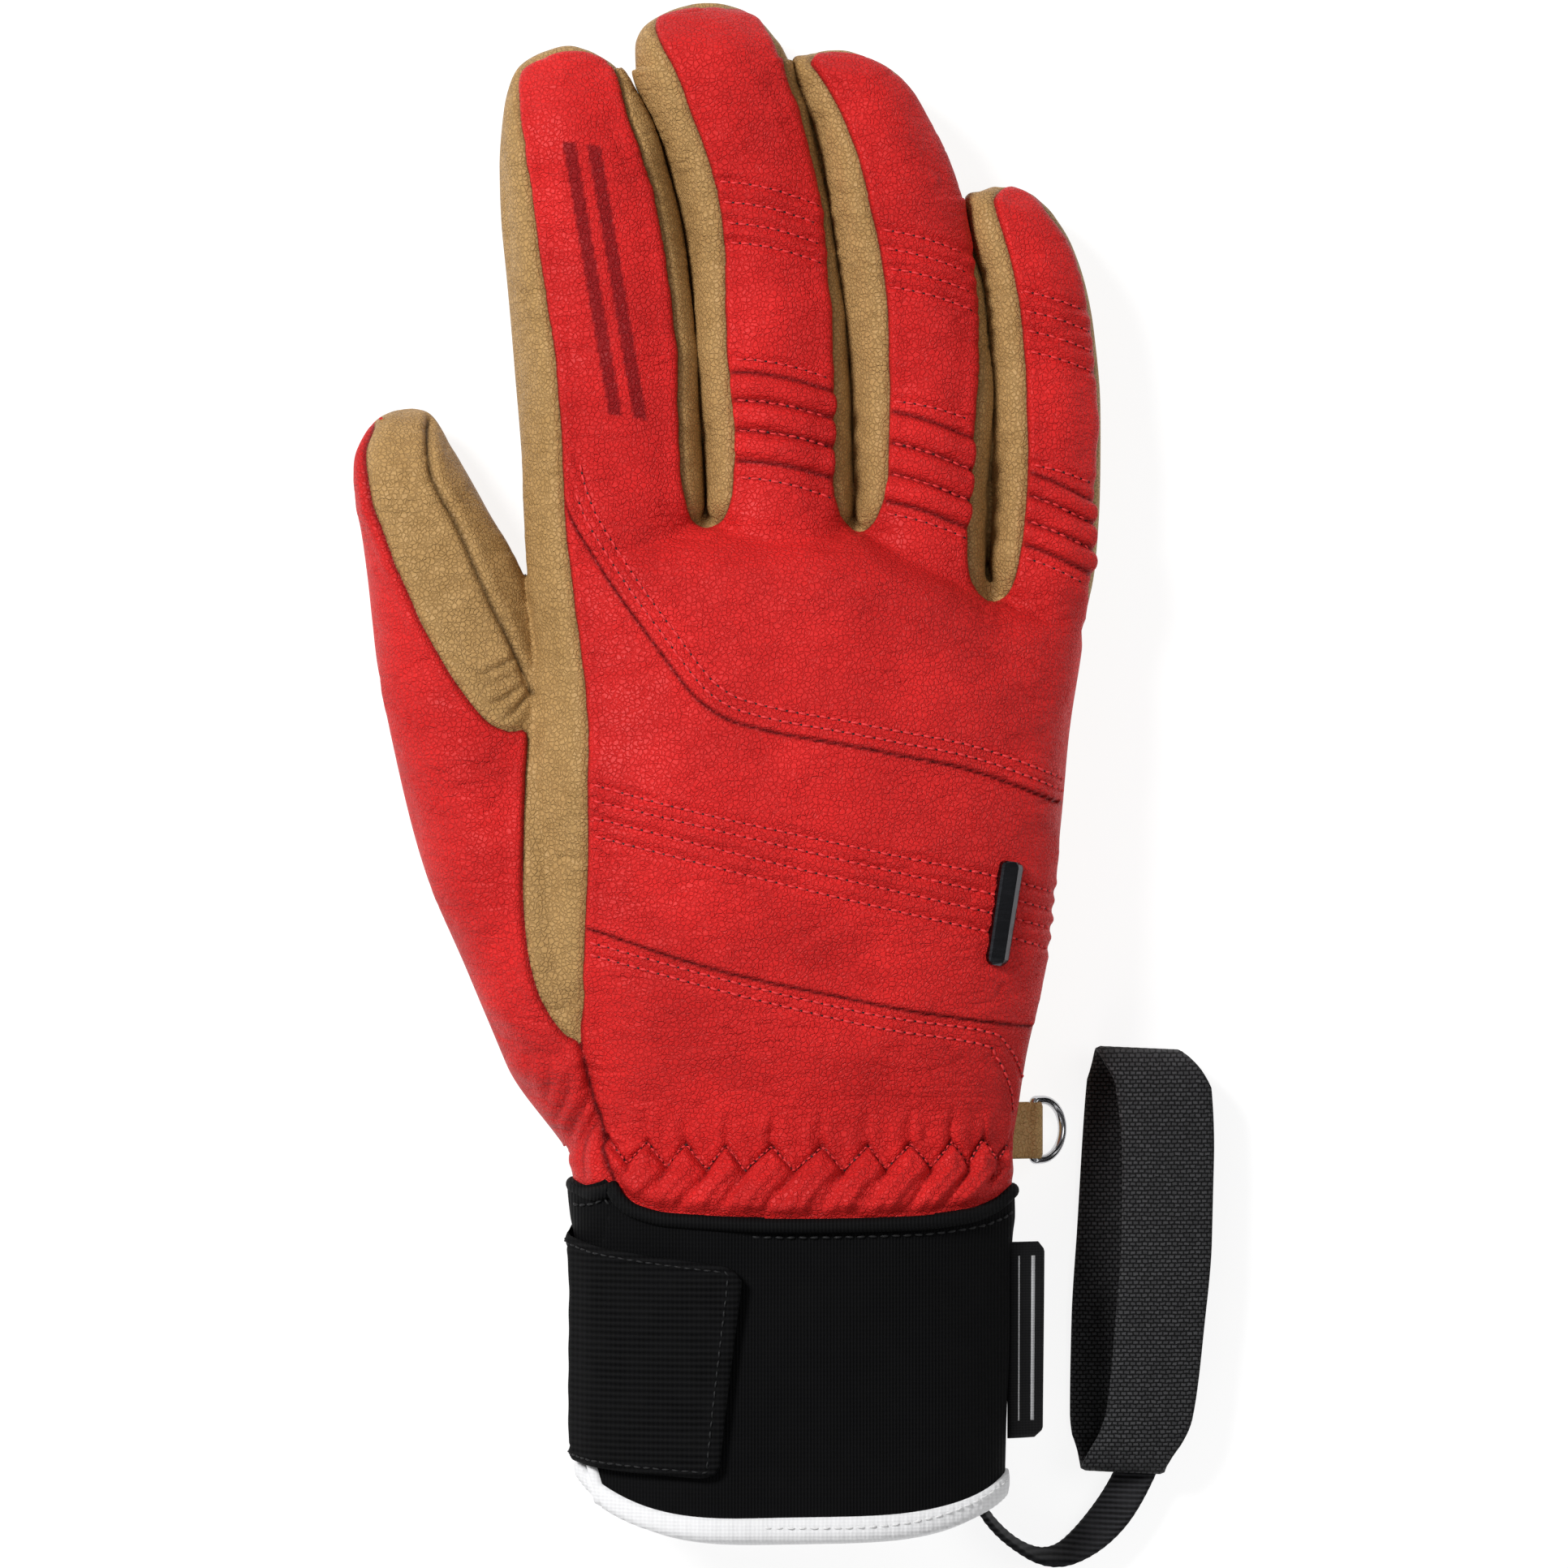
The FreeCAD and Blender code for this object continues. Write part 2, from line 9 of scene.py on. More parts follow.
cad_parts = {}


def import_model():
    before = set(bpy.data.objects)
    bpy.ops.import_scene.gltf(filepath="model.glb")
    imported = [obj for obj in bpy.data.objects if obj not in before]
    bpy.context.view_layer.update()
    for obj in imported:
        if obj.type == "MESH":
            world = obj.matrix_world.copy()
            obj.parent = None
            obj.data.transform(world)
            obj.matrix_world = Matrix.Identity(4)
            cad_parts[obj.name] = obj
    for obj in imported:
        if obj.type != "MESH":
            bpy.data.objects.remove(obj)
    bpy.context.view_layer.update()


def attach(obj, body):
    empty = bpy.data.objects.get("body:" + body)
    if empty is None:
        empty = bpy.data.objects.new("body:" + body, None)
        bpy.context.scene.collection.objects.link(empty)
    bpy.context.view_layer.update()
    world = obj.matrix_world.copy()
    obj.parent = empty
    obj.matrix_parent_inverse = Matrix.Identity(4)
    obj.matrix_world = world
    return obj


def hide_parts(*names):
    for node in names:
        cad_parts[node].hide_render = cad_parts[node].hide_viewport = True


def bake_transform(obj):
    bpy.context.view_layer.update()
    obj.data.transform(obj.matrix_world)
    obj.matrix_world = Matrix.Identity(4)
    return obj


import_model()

MM = 0.001


# ------------------------------------------------------------------ numbers
def pchip(xs, ys, q):
    """Smooth curve through points that doesn't overshoot, sampled at q."""
    xs, ys, q = np.asarray(xs, float), np.asarray(ys, float), np.asarray(q, float)
    if xs[0] > xs[-1]:
        xs, ys = xs[::-1], ys[::-1]
    h = np.diff(xs)
    d = np.diff(ys) / h
    m = np.zeros(len(xs))
    m[0], m[-1] = d[0], d[-1]
    same = d[:-1] * d[1:] > 0
    m[1:-1][same] = 2 * d[:-1][same] * d[1:][same] / (d[:-1][same] + d[1:][same])
    i = np.clip(np.searchsorted(xs, q) - 1, 0, len(xs) - 2)
    t = np.clip((q - xs[i]) / h[i], 0, 1)
    return ((2 * t**3 - 3 * t**2 + 1) * ys[i] + (t**3 - 2 * t**2 + t) * h[i] * m[i]
            + (-2 * t**3 + 3 * t**2) * ys[i + 1] + (t**3 - t**2) * h[i] * m[i + 1])


def smoothstep(x, a, b):
    t = np.clip((np.asarray(x, float) - a) / (b - a), 0, 1)
    return t * t * (3 - 2 * t)


def ridge(d, width):
    """Bell of height 1 over a line, d mm away from it."""
    return np.exp(-(d / width) ** 2)


def run_lengths(p):
    """Distance along a line at each of its points."""
    return np.concatenate([[0], np.cumsum(np.linalg.norm(np.diff(p, axis=0), axis=1))])


def along_line(q, s, p):
    """Rows of p at the distances q, where s are the distances of the rows."""
    return np.stack([np.interp(q, s, p[:, k]) for k in range(3)], -1)


def unit(v):
    return v / np.linalg.norm(v, axis=-1, keepdims=True)


def table(rows, *columns):
    """Chosen columns of a list of rows."""
    return [[row[k] for row in rows] for k in columns]


def soft_line(points, step=0.8, closed=False):
    """Catmull-Rom curve through plan points, sampled about every step mm."""
    p = np.array(points, float)
    n = len(p)
    ext = np.vstack([p[-1], p, p[:2]] if closed else [2 * p[0] - p[1], p, 2 * p[-1] - p[-2]])
    out = []
    for i in range(n if closed else n - 1):
        a, b, c, d = ext[i], ext[i + 1], ext[i + 2], ext[i + 3]
        k = max(2, int(np.linalg.norm(c - b) / step))
        for t in np.arange(k) / k:
            out.append(0.5 * (2 * b + (c - a) * t + (2 * a - 5 * b + 4 * c - d) * t**2
                              + (3 * b - a - 3 * c + d) * t**3))
    if not closed:
        out.append(p[-1])
    return np.array(out)


def line_distance(q, line, reach=9.0):
    """Signed distance in plan from points to a line, positive on its left; far points get reach."""
    best = np.full(len(q), reach**2)
    sign = np.ones(len(q))
    for k in range(0, len(line) - 1, 16):
        part = line[k:k + 17]
        lo, hi = part.min(0) - reach, part.max(0) + reach
        near = np.where((q[:, 0] > lo[0]) & (q[:, 0] < hi[0]) & (q[:, 1] > lo[1]) & (q[:, 1] < hi[1]))[0]
        if len(near) == 0:
            continue
        p = q[near]
        least, side_of = best[near], sign[near]
        for a, b in zip(part[:-1], part[1:]):
            e = b - a
            t = np.clip(((p - a) @ e) / max(e @ e, 1e-9), 0, 1)
            r = p - (a + t[:, None] * e)
            d = r[:, 0] ** 2 + r[:, 1] ** 2
            closer = d < least
            least[closer] = d[closer]
            side_of[closer] = np.where(e[0] * r[closer, 1] - e[1] * r[closer, 0] >= 0, 1.0, -1.0)
        best[near], sign[near] = least, side_of
    return np.sqrt(best) * sign


def inside(q, ring):
    """Which plan points lie inside a closed line."""
    x, y = q[:, 0], q[:, 1]
    odd = np.zeros(len(q), bool)
    for a, b in zip(ring, np.roll(ring, -1, 0)):
        cross = ((a[1] > y) != (b[1] > y))
        at = a[0] + (y - a[1]) * (b[0] - a[0]) / (b[1] - a[1] + 1e-12)
        odd ^= cross & (x < at)
    return odd


def field_noise(q, scale, seed):
    """Smooth random field in -1..1 over plan points."""
    grid_n = 160
    lo, hi = q.min(0) - 1, q.max(0) + 1
    gx = np.linspace(lo[0], hi[0], grid_n)
    gy = np.linspace(lo[1], hi[1], grid_n)
    g = np.array([[lattice_noise(Vector((x / scale[0], y / scale[1], seed))) for x in gx] for y in gy])
    fx = (q[:, 0] - lo[0]) / (hi[0] - lo[0]) * (grid_n - 1)
    fy = (q[:, 1] - lo[1]) / (hi[1] - lo[1]) * (grid_n - 1)
    ix, iy = np.clip(fx.astype(int), 0, grid_n - 2), np.clip(fy.astype(int), 0, grid_n - 2)
    tx, ty = fx - ix, fy - iy
    return ((g[iy, ix] * (1 - tx) + g[iy, ix + 1] * tx) * (1 - ty)
            + (g[iy + 1, ix] * (1 - tx) + g[iy + 1, ix + 1] * tx) * ty)


# ------------------------------------------------------------------- meshes
def linked(name, data):
    """New object in the scene."""
    ob = bpy.data.objects.new(name, data)
    bpy.context.scene.collection.objects.link(ob)
    return ob


def make_object(name, verts, faces, smooth=True, materials=(), face_material=None):
    """Mesh object from points in mm."""
    me = bpy.data.meshes.new(name)
    points = [tuple(v) for v in np.asarray(verts, float) * MM]
    me.from_pydata(points, [], [tuple(int(i) for i in f) for f in faces])
    me.validate()
    if smooth:
        me.polygons.foreach_set("use_smooth", [True] * len(me.polygons))
    for m in materials:
        me.materials.append(m)
    if face_material is not None:
        me.polygons.foreach_set("material_index", [int(i) for i in face_material])
    me.update()
    return linked(name, me)


def grid_faces(nu, nv, wrap=False):
    """Quads of a grid whose vertices run u fastest."""
    faces = []
    for v in range(0, nu * (nv - 1), nu):
        for u in range(nu if wrap else nu - 1):
            w = (u + 1) % nu
            faces.append((v + u, v + w, v + nu + w, v + nu + u))
    return faces


def plate_faces(nu, nv):
    """Quads of two stacked grids and of the rim between them."""
    n = nu * nv
    faces = [q[::-1] for q in grid_faces(nu, nv)] + [tuple(n + i for i in q) for q in grid_faces(nu, nv)]
    border = [*range(nu), *range(2 * nu - 1, n, nu), *range(n - 2, n - nu - 1, -1), *range(n - 2 * nu, 0, -nu)]
    return faces + [(a, b, n + b, n + a) for a, b in zip(border, border[1:] + border[:1])]


def ribbon_faces(n, cols, closed):
    """Quads of a ribbon with a face and a back, each n rows of cols points."""
    back, e = n * cols, cols - 1
    faces = []
    for i in range(n if closed else n - 1):
        a, b = i * cols, (i + 1) % n * cols
        for c in range(e):
            faces.append((a + c, a + c + 1, b + c + 1, b + c))
            faces.append((back + a + c, back + b + c, back + b + c + 1, back + a + c + 1))
        faces.append((a, b, back + b, back + a))
        faces.append((a + e, back + a + e, back + b + e, b + e))
    if not closed:
        for a in (0, back - cols):
            ends = [(c, back + c, back + c + 1, c + 1) for c in range(a, a + e)]
            faces += [q if a == 0 else q[::-1] for q in ends]
    return faces


def signed_power(x, power):
    return np.sign(x) * np.abs(x) ** power


def oval_ring(centre, across, half_w, half_h, power, count=72):
    """Upright ring between an ellipse and a rectangle."""
    a = 2 * np.pi * (np.arange(count) + 0.5) / count
    ring = np.asarray(centre) + np.outer(signed_power(np.cos(a), 2 / power) * half_w, across)
    ring[:, 2] += signed_power(np.sin(a), 2 / power) * half_h
    return ring


def closed_loft(rings):
    """Skin through rings, capped at both ends."""
    n = len(rings[0])
    verts = np.vstack(rings)
    faces = grid_faces(n, len(rings), wrap=True)
    faces.append(tuple(range(n))[::-1])
    faces.append(tuple(range(n * (len(rings) - 1), n * len(rings))))
    return verts, faces


def applied(ob, kind, **settings):
    """Runs one modifier on an object and keeps its result as the mesh."""
    mod = ob.modifiers.new("m", kind)
    for k, v in settings.items():
        setattr(mod, k, v)
    dg = bpy.context.evaluated_depsgraph_get()
    me = bpy.data.meshes.new_from_object(ob.evaluated_get(dg))
    ob.modifiers.clear()
    old = ob.data
    ob.data = me
    bpy.data.meshes.remove(old)
    return ob


def per_vertex(me, what):
    values = np.zeros(len(me.vertices) * 3, np.float32)
    me.vertices.foreach_get(what, values)
    return values.reshape(-1, 3).astype(float)


def coords(me):
    return per_vertex(me, "co") / MM


def set_coords(me, co):
    me.vertices.foreach_set("co", (np.asarray(co) * MM).astype(np.float32).ravel())
    me.update()


def normals(me):
    return per_vertex(me, "normal")


# ------------------------------------------------------------ glove outlines
# edges: y, left x, right x; start and end: where the leather bends from hand to finger; rows and pleats: y of
# each at the finger's centre line, with their slopes
FINGERS = {
    "index": {
        "edges": [(20.0, -36.8, -6.0), (34.0, -37.8, -5.2), (53.0, -38.9, -4.7), (77.0, -40.7, -6.2),
                  (100.0, -42.8, -8.5), (115.0, -43.5, -12.2), (123.0, -43.0, -14.8), (130.0, -41.8, -18.6),
                  (134.0, -40.0, -21.2), (136.6, -36.4, -25.0), (137.9, -32.8, -28.6)],
        "thick": 29.0, "hinge": (-21.9, 60.0), "lean": 4.5, "start": 45.5, "end": 76.0,
        "rows": [], "pleats": None, "row_slope": -0.1, "pleat_slope": -0.1, "base_slope": -0.1,
    },
    "middle": {
        "edges": [(20.0, -1.2, 23.4), (34.0, -2.4, 24.2), (53.0, -3.5, 23.9), (69.0, -4.7, 23.5),
                  (84.0, -5.4, 22.6), (100.0, -7.1, 20.5), (110.0, -9.1, 19.0), (123.0, -13.0, 16.0),
                  (131.0, -16.8, 13.4), (137.0, -17.5, 10.8), (141.7, -15.8, 7.6), (145.0, -10.8, 3.4),
                  (146.4, -6.5, -0.6)],
        "thick": 28.0, "hinge": (10.3, 60.0), "lean": 4.0, "start": 45.5, "end": 75.0,
        "rows": [110.4, 106.5, 102.5, 98.8, 76.6], "pleats": [74.1, 68.8, 63.1, 57.2], "base_row": 53.8,
        "row_slope": -0.17, "pleat_slope": -0.17, "base_slope": -0.20,
    },
    "ring": {
        "edges": [(20.0, 26.0, 47.6), (34.0, 25.4, 49.4), (53.0, 24.5, 50.0), (69.0, 24.2, 50.6),
                  (84.0, 23.3, 49.6), (92.0, 22.2, 48.7), (100.0, 21.1, 46.6), (108.0, 20.0, 45.1),
                  (115.0, 18.6, 42.9), (123.0, 16.6, 39.4), (131.0, 13.4, 34.4), (134.4, 13.4, 30.4),
                  (136.3, 15.6, 26.2), (137.3, 18.4, 23.4)],
        "thick": 27.0, "hinge": (38.0, 56.0), "lean": 2.6, "start": 44.5, "end": 70.0,
        "rows": [101.2, 97.6, 93.8, 90.2, 68.5], "pleats": [65.9, 59.9, 54.0, 48.6], "base_row": 46.4,
        "row_slope": -0.21, "pleat_slope": -0.31, "base_slope": -0.30,
    },
    "little": {
        "edges": [(12.0, 52.0, 62.6), (22.0, 51.6, 66.8), (30.0, 51.3, 69.0), (38.0, 50.9, 70.6), (53.0, 50.6, 71.6),
                  (69.0, 51.2, 71.7), (84.0, 50.2, 70.4), (92.0, 49.3, 68.9), (100.0, 47.2, 66.2),
                  (106.0, 45.8, 62.6), (109.4, 46.9, 59.2), (111.1, 50.4, 56.0)],
        "thick": 24.0, "hinge": (61.6, 46.0), "lean": 4.4, "start": 33.0, "end": 60.0,
        "rows": [89.8, 86.0, 82.2, 78.2, 56.7], "pleats": [54.6, 50.3, 45.2, 40.6], "base_row": 38.2,
        "row_slope": -0.24, "pleat_slope": -0.40, "base_slope": -0.40,
    },
}

# y, left x, right x, low z, high z
HAND = [
    (46.0, -38.3, 69.2, 2.6, 35.5), (38.0, -37.9, 68.3, 2.2, 37.5), (22.0, -36.6, 66.8, 1.7, 40.5),
    (7.0, -37.8, 65.4, 1.4, 42.5), (-9.0, -38.2, 64.0, 1.3, 43.5), (-24.0, -38.4, 62.4, 1.3, 43.5),
    (-40.0, -36.6, 60.6, 1.4, 42.5), (-55.0, -32.2, 57.3, 1.5, 40.6), (-66.0, -30.2, 55.6, 1.6, 38.4),
    (-73.0, -29.8, 54.6, 1.6, 38.0), (-80.0, -29.8, 55.0, 1.4, 41.6), (-90.0, -29.6, 55.0, 1.2, 42.0),
]
# the hand's end in plan, along its width
WEB = [(-60.0, 45.5), (-4.0, 45.5), (25.0, 44.8), (38.0, 40.0), (51.0, 31.6), (80.0, 31.0)]
# centre x, y, half width, half height
THUMB = [
    (-62.4, 68.7, 2.0, 2.2), (-62.4, 67.6, 4.8, 4.8), (-62.4, 65.0, 7.0, 7.4), (-62.2, 61.2, 8.8, 9.6),
    (-61.3, 56.4, 10.3, 11.4), (-57.6, 45.0, 12.5, 12.8), (-53.6, 33.0, 15.0, 13.6), (-50.6, 21.0, 16.3, 14.2),
    (-47.5, 5.0, 16.2, 15.4), (-42.9, -14.0, 15.9, 16.4), (-35.6, -33.0, 15.3, 16.6), (-28.3, -52.0, 14.7, 16.6),
    (-22.5, -70.0, 9.0, 14.0),
]

# red panels in plan: the back with its four finger backs, then the thumb
RED_BACK = [
    (-26.0, -95.0), (-21.0, -78.4), (-24.5, -64.0), (-27.2, -53.6), (-27.5, -44.0), (-27.0, -30.4),
    (-26.3, -12.0), (-26.4, 4.0), (-27.2, 16.0), (-28.5, 29.0), (-29.6, 38.0), (-30.6, 46.0), (-31.3, 60.0),
    (-32.3, 74.0), (-34.6, 88.0), (-37.0, 103.0), (-38.6, 116.0), (-40.0, 126.0), (-40.4, 131.0),
    (-38.6, 134.4), (-30.5, 136.6), (-23.8, 135.4), (-21.4, 132.0), (-18.4, 123.0), (-15.6, 115.0),
    (-13.4, 108.0), (-11.4, 96.0), (-10.2, 84.0), (-9.2, 70.0), (-8.6, 60.0), (-8.3, 53.5), (-7.7, 50.2),
    (-6.9, 48.0), (-5.4, 46.4), (-3.6, 45.8), (-1.7, 46.4), (0.0, 48.0), (0.9, 50.2), (1.2, 53.5), (1.3, 60.0),
    (0.8, 70.0), (0.1, 82.0), (-0.5, 92.0),
    (-1.3, 104.0), (-3.4, 114.0), (-6.4, 123.0), (-9.4, 131.4), (-11.8, 136.0), (-13.8, 141.0),
    (-12.4, 144.0), (-3.4, 146.0), (5.0, 144.4), (7.8, 140.6), (9.4, 136.6), (11.8, 130.4), (15.0, 122.0),
    (17.4, 113.0), (18.7, 102.0), (19.7, 91.0), (20.6, 80.0), (20.7, 66.0), (20.5, 57.0), (20.8, 52.5),
    (21.5, 49.4), (23.0, 46.8), (25.4, 45.0), (27.9, 46.6), (29.3, 49.6), (30.0, 53.0), (30.5, 57.0),
    (30.8, 70.0), (30.8, 84.0),
    (30.0, 93.0), (28.6, 101.0), (27.0, 108.0), (25.0, 115.4), (21.9, 123.4), (18.0, 131.0), (16.2, 134.2),
    (18.6, 136.4), (25.6, 135.8), (30.8, 133.6), (34.6, 130.6), (39.6, 123.2), (43.0, 115.2),
    (45.5, 107.4), (47.1, 96.0), (47.9, 82.0), (47.5, 68.0), (47.3, 54.0), (46.5, 44.0), (46.4, 38.6),
    (46.9, 35.6), (48.4, 33.0), (50.8, 31.8), (53.1, 32.8), (54.6, 35.4), (55.4, 38.8), (56.4, 48.0),
    (57.1, 58.0), (57.1, 70.0),
    (56.4, 80.0), (55.2, 90.0), (53.4, 98.0), (51.4, 105.6), (51.2, 109.0), (54.4, 111.4), (58.6, 109.8),
    (61.6, 106.6), (65.9, 100.2), (68.5, 92.0), (70.2, 83.0), (71.2, 72.0), (71.3, 60.0), (70.6, 48.0),
    (69.8, 38.0), (69.2, 32.0), (72.0, 27.0), (90.0, 20.0), (90.0, -95.0),
]
RED_THUMB = [
    (-95.0, 67.0), (-70.0, 67.0), (-67.8, 66.0), (-69.2, 60.6), (-68.2, 53.4), (-66.2, 46.6), (-62.8, 37.8),
    (-58.6, 28.5), (-55.2, 22.2), (-50.4, 14.6), (-45.4, 8.6), (-41.0, 6.6), (-37.6, 6.4), (-37.8, -2.0),
    (-38.2, -16.0), (-38.3, -26.0), (-37.2, -37.0), (-34.6, -45.4), (-30.8, -50.6), (-27.4, -53.2),
    (-24.7, -64.0), (-21.3, -78.4), (-26.0, -97.0), (-95.0, -97.0),
]
THUMB_SEAM = [
    (-56.6, 70.0), (-56.6, 60.0), (-55.0, 53.0), (-51.9, 47.0), (-46.0, 33.6), (-39.8, 21.0), (-36.9, 14.0),
]
UPPER_SEAM = [
    (-32.0, 56.6), (-30.6, 51.2), (-28.4, 45.6), (-25.0, 39.8), (-20.0, 32.2), (-12.8, 22.3), (-6.9, 14.5),
    (-3.2, 11.1), (1.3, 8.6), (9.5, 6.4), (20.6, 4.4), (31.1, 2.4), (47.3, -0.9), (64.3, -7.1), (72.0, -10.0),
]
ROWS = [
    [(-26.4, -3.2), (-4.5, -9.0), (27.6, -16.0), (50.0, -20.6), (63.0, -24.2)],
    [(-26.4, -6.2), (14.7, -16.0), (50.0, -24.1), (62.6, -27.6)],
    [(-26.5, -9.4), (14.7, -19.6), (50.0, -27.7), (62.3, -31.0)],
    [(-26.6, -12.8), (14.7, -23.2), (49.4, -31.3), (61.9, -34.8)],
]
LOWER_SEAM = [(-27.0, -30.3), (-4.5, -37.5), (14.7, -42.0), (34.1, -45.9), (52.0, -48.5), (60.0, -49.6)]
LOWER_ROWS = [
    [(-26.8, -33.0), (1.9, -40.8), (27.6, -46.8), (48.5, -50.0), (53.3, -53.0), (56.2, -58.7), (57.0, -66.0)],
    [(-26.8, -35.3), (1.9, -43.0), (27.6, -49.1), (47.5, -52.4), (51.2, -55.2), (53.9, -61.0), (54.6, -66.0)],
]
ZIG_PEAKS = [-22.4, -14.9, -7.7, 0.0, 8.7, 18.3, 27.0, 35.0, 42.8, 48.8, 54.6]
ZIG_VALLEYS = [-18.6, -11.3, -3.6, 3.6, 12.9, 22.2, 30.2, 38.9, 45.9, 51.6]
THUMB_FOLDS = [[(-44.6, 11.9), (-41.6, 13.2), (-38.6, 15.4)], [(-42.2, 8.9), (-40.0, 10.6), (-37.8, 13.4)],
               [(-46.8, 17.4), (-43.4, 18.6), (-40.2, 20.6)]]
WRIST_CREASE = [(-27.3, -53.4), (-25.6, -61.0), (-23.4, -69.0), (-21.0, -79.0)]


def finger_centre(f, y):
    ys, left, right = table(f["edges"], 0, 1, 2)
    return pchip(ys, [(a + b) / 2 for a, b in zip(left, right)], y)


def finger_half(f, y):
    ys, left, right = table(f["edges"], 0, 1, 2)
    return pchip(ys, [(b - a) / 2 for a, b in zip(left, right)], y)


def zigzag(x):
    """Height in plan of the zigzag stitching across the wrist, and 0..1 from peak to valley."""
    level = np.interp(x, *table(sorted([(p, 1.0) for p in ZIG_PEAKS] + [(v, 0.0) for v in ZIG_VALLEYS]), 0, 1))
    base = -76.2 + 1.6 * ((np.asarray(x) - 14.0) / 40.0) ** 2
    return base + 4.4 * level, 1 - level


def leather_end(x):
    """Where the leather stops at the cuff."""
    x = np.asarray(x, float)
    main = pchip([-22.0, -20.3, -19.4, -16.5, -10.0, 12.0, 34.0, 46.0, 51.0, 55.5, 60.0],
                 [-78.6, -79.0, -80.6, -83.0, -84.6, -85.6, -85.2, -83.9, -82.4, -79.6, -78.0], x)
    thumb_side = -78.4 - 1.6 * np.clip(1 - ((x + 25.4) / 5.2) ** 2, -0.4, 1)
    return np.where(x < -20.6, thumb_side, main)


# --------------------------------------------------------------- base volume
def finger_loft(f):
    root_y, tip = f["edges"][0][0], f["edges"][-1][0]
    rounding = tip - 12 * (1 - np.sin(np.linspace(0, np.pi / 2, 16)))
    q = np.concatenate([np.arange(root_y, tip - 12, 1.6), rounding])
    half = finger_half(f, q)
    shape = np.where(q > tip - 24, np.minimum(1.0, half / finger_half(f, tip - 22.0)), 1.0)
    high = f["thick"] / 2 * (0.25 + 0.75 * shape) * shape ** 0.3
    lift = 2.6 * (1 - smoothstep(q, 40, 72))
    root = smoothstep(q, root_y, root_y + 24.0)
    high = high * (0.72 + 0.28 * root)
    low = 1.3 + (f["thick"] / 2 - high) * 0.62 + 5.0 * (1 - root)
    return closed_loft([oval_ring((c, y, zl + h + up / 2), (1, 0, 0), w, h + up / 2, 2.25)
                        for y, c, w, h, up, zl in zip(q, finger_centre(f, q), half, high, lift, low)])


def hand_loft():
    ys, *sides = table(HAND, 0, 1, 2, 3, 4)
    q = np.arange(46.0, -90.1, -1.6)
    rings = []
    for y, x0, x1, z0, z1 in zip(q, *[pchip(ys, side, q) for side in sides]):
        t = np.clip((46.0 - y) / 11.0, 0, 1)
        close = math.sqrt(1 - (1 - t) ** 2) * 0.86 + 0.14
        mid = (z0 + z1) / 2
        hh = (z1 - z0) / 2 * close
        ring = oval_ring(((x0 + x1) / 2, y, mid), (1, 0, 0), (x1 - x0) / 2 - 1.5 * (1 - t), hh, 2.5, 96)
        move = np.interp(ring[:, 0], *table(WEB, 0, 1)) - 45.5
        ring[:, 1] += move * smoothstep(y, 0.0, 46.0)
        rings.append(ring)
    return closed_loft(rings)


def thumb_loft():
    p = np.array(THUMB)
    s = run_lengths(p[:, :2])
    q = np.concatenate([12 * (1 - np.cos(np.linspace(0, np.pi / 2, 14))), np.arange(13.5, s[-1], 1.6)])
    x, y, w, h = (pchip(s, p[:, k], q) for k in range(4))
    rings = []
    for i in range(len(q)):
        a, b = max(i - 1, 0), min(i + 1, len(q) - 1)
        if q[i] < 9:
            a, b = 2, 16
        d = unit(np.array([x[a] - x[b], y[a] - y[b]]))
        low = 1.3 + max(0.0, 15.0 - h[i]) * 0.3
        rings.append(oval_ring((x[i], y[i], low + h[i]), (d[1], -d[0], 0), w[i], h[i], 2.2))
    return closed_loft(rings)


def join_lofts(parts, name):
    """One object out of several overlapping skins."""
    verts, faces, base = [], [], 0
    for v, f in parts:
        verts.append(v)
        faces += [tuple(i + base for i in face) for face in f]
        base += len(v)
    return make_object(name, np.vstack(verts), faces)


def base_volume(name, voxel, rounds):
    """Hand, thumb and fingers grown into one skin, without relief."""
    parts = [hand_loft(), thumb_loft()] + [finger_loft(f) for f in FINGERS.values()]
    ob = join_lofts(parts, name)
    applied(ob, "REMESH", mode="VOXEL", voxel_size=voxel * MM, use_smooth_shade=True)
    applied(ob, "SMOOTH", factor=0.5, iterations=rounds)
    co = coords(ob.data)
    # the seam between hand and fingers is soft: smooth it more
    group = ob.vertex_groups.new(name="roots")
    weight = (smoothstep(co[:, 1], 22, 36) * (1 - smoothstep(co[:, 1], 52, 66))
              * smoothstep(co[:, 2], 14, 24))
    weight = np.maximum(weight, smoothstep(co[:, 0], -22, -30) * smoothstep(co[:, 1], -64, -50)
                        * (1 - smoothstep(co[:, 1], 2, 12)) * smoothstep(co[:, 2], 12, 20))
    for level in range(1, 6):
        ids = np.where(np.abs(weight - level / 5) < 0.1)[0]
        if len(ids):
            group.add([int(i) for i in ids], level / 5, "REPLACE")
    applied(ob, "SMOOTH", factor=0.6, iterations=26, vertex_group="roots")
    ob.vertex_groups.clear()
    return ob


# ------------------------------------------------------------ surface relief
def panel_distance(q, outline):
    """Distance in plan to a panel's edge, positive inside it."""
    ring = soft_line(outline, 0.9, closed=True)
    d = line_distance(q, np.vstack([ring, ring[:1]]))
    area = np.sum(ring[:, 0] * np.roll(ring[:, 1], -1) - np.roll(ring[:, 0], -1) * ring[:, 1])
    d = d * np.sign(area)
    far = np.abs(d) > 1.5
    rough = np.abs(d) * np.where(inside(q, ring[::5]), 1.0, -1.0)
    return np.where(far, rough, d)


def red_distance(q):
    back = panel_distance(q, RED_BACK)
    thumb = panel_distance(q, RED_THUMB)
    thumb_zone = (q[:, 0] < -20) & (q[:, 1] < 72)
    return np.where(thumb_zone, np.maximum(np.maximum(back, thumb), -54.0 - q[:, 1]), back)


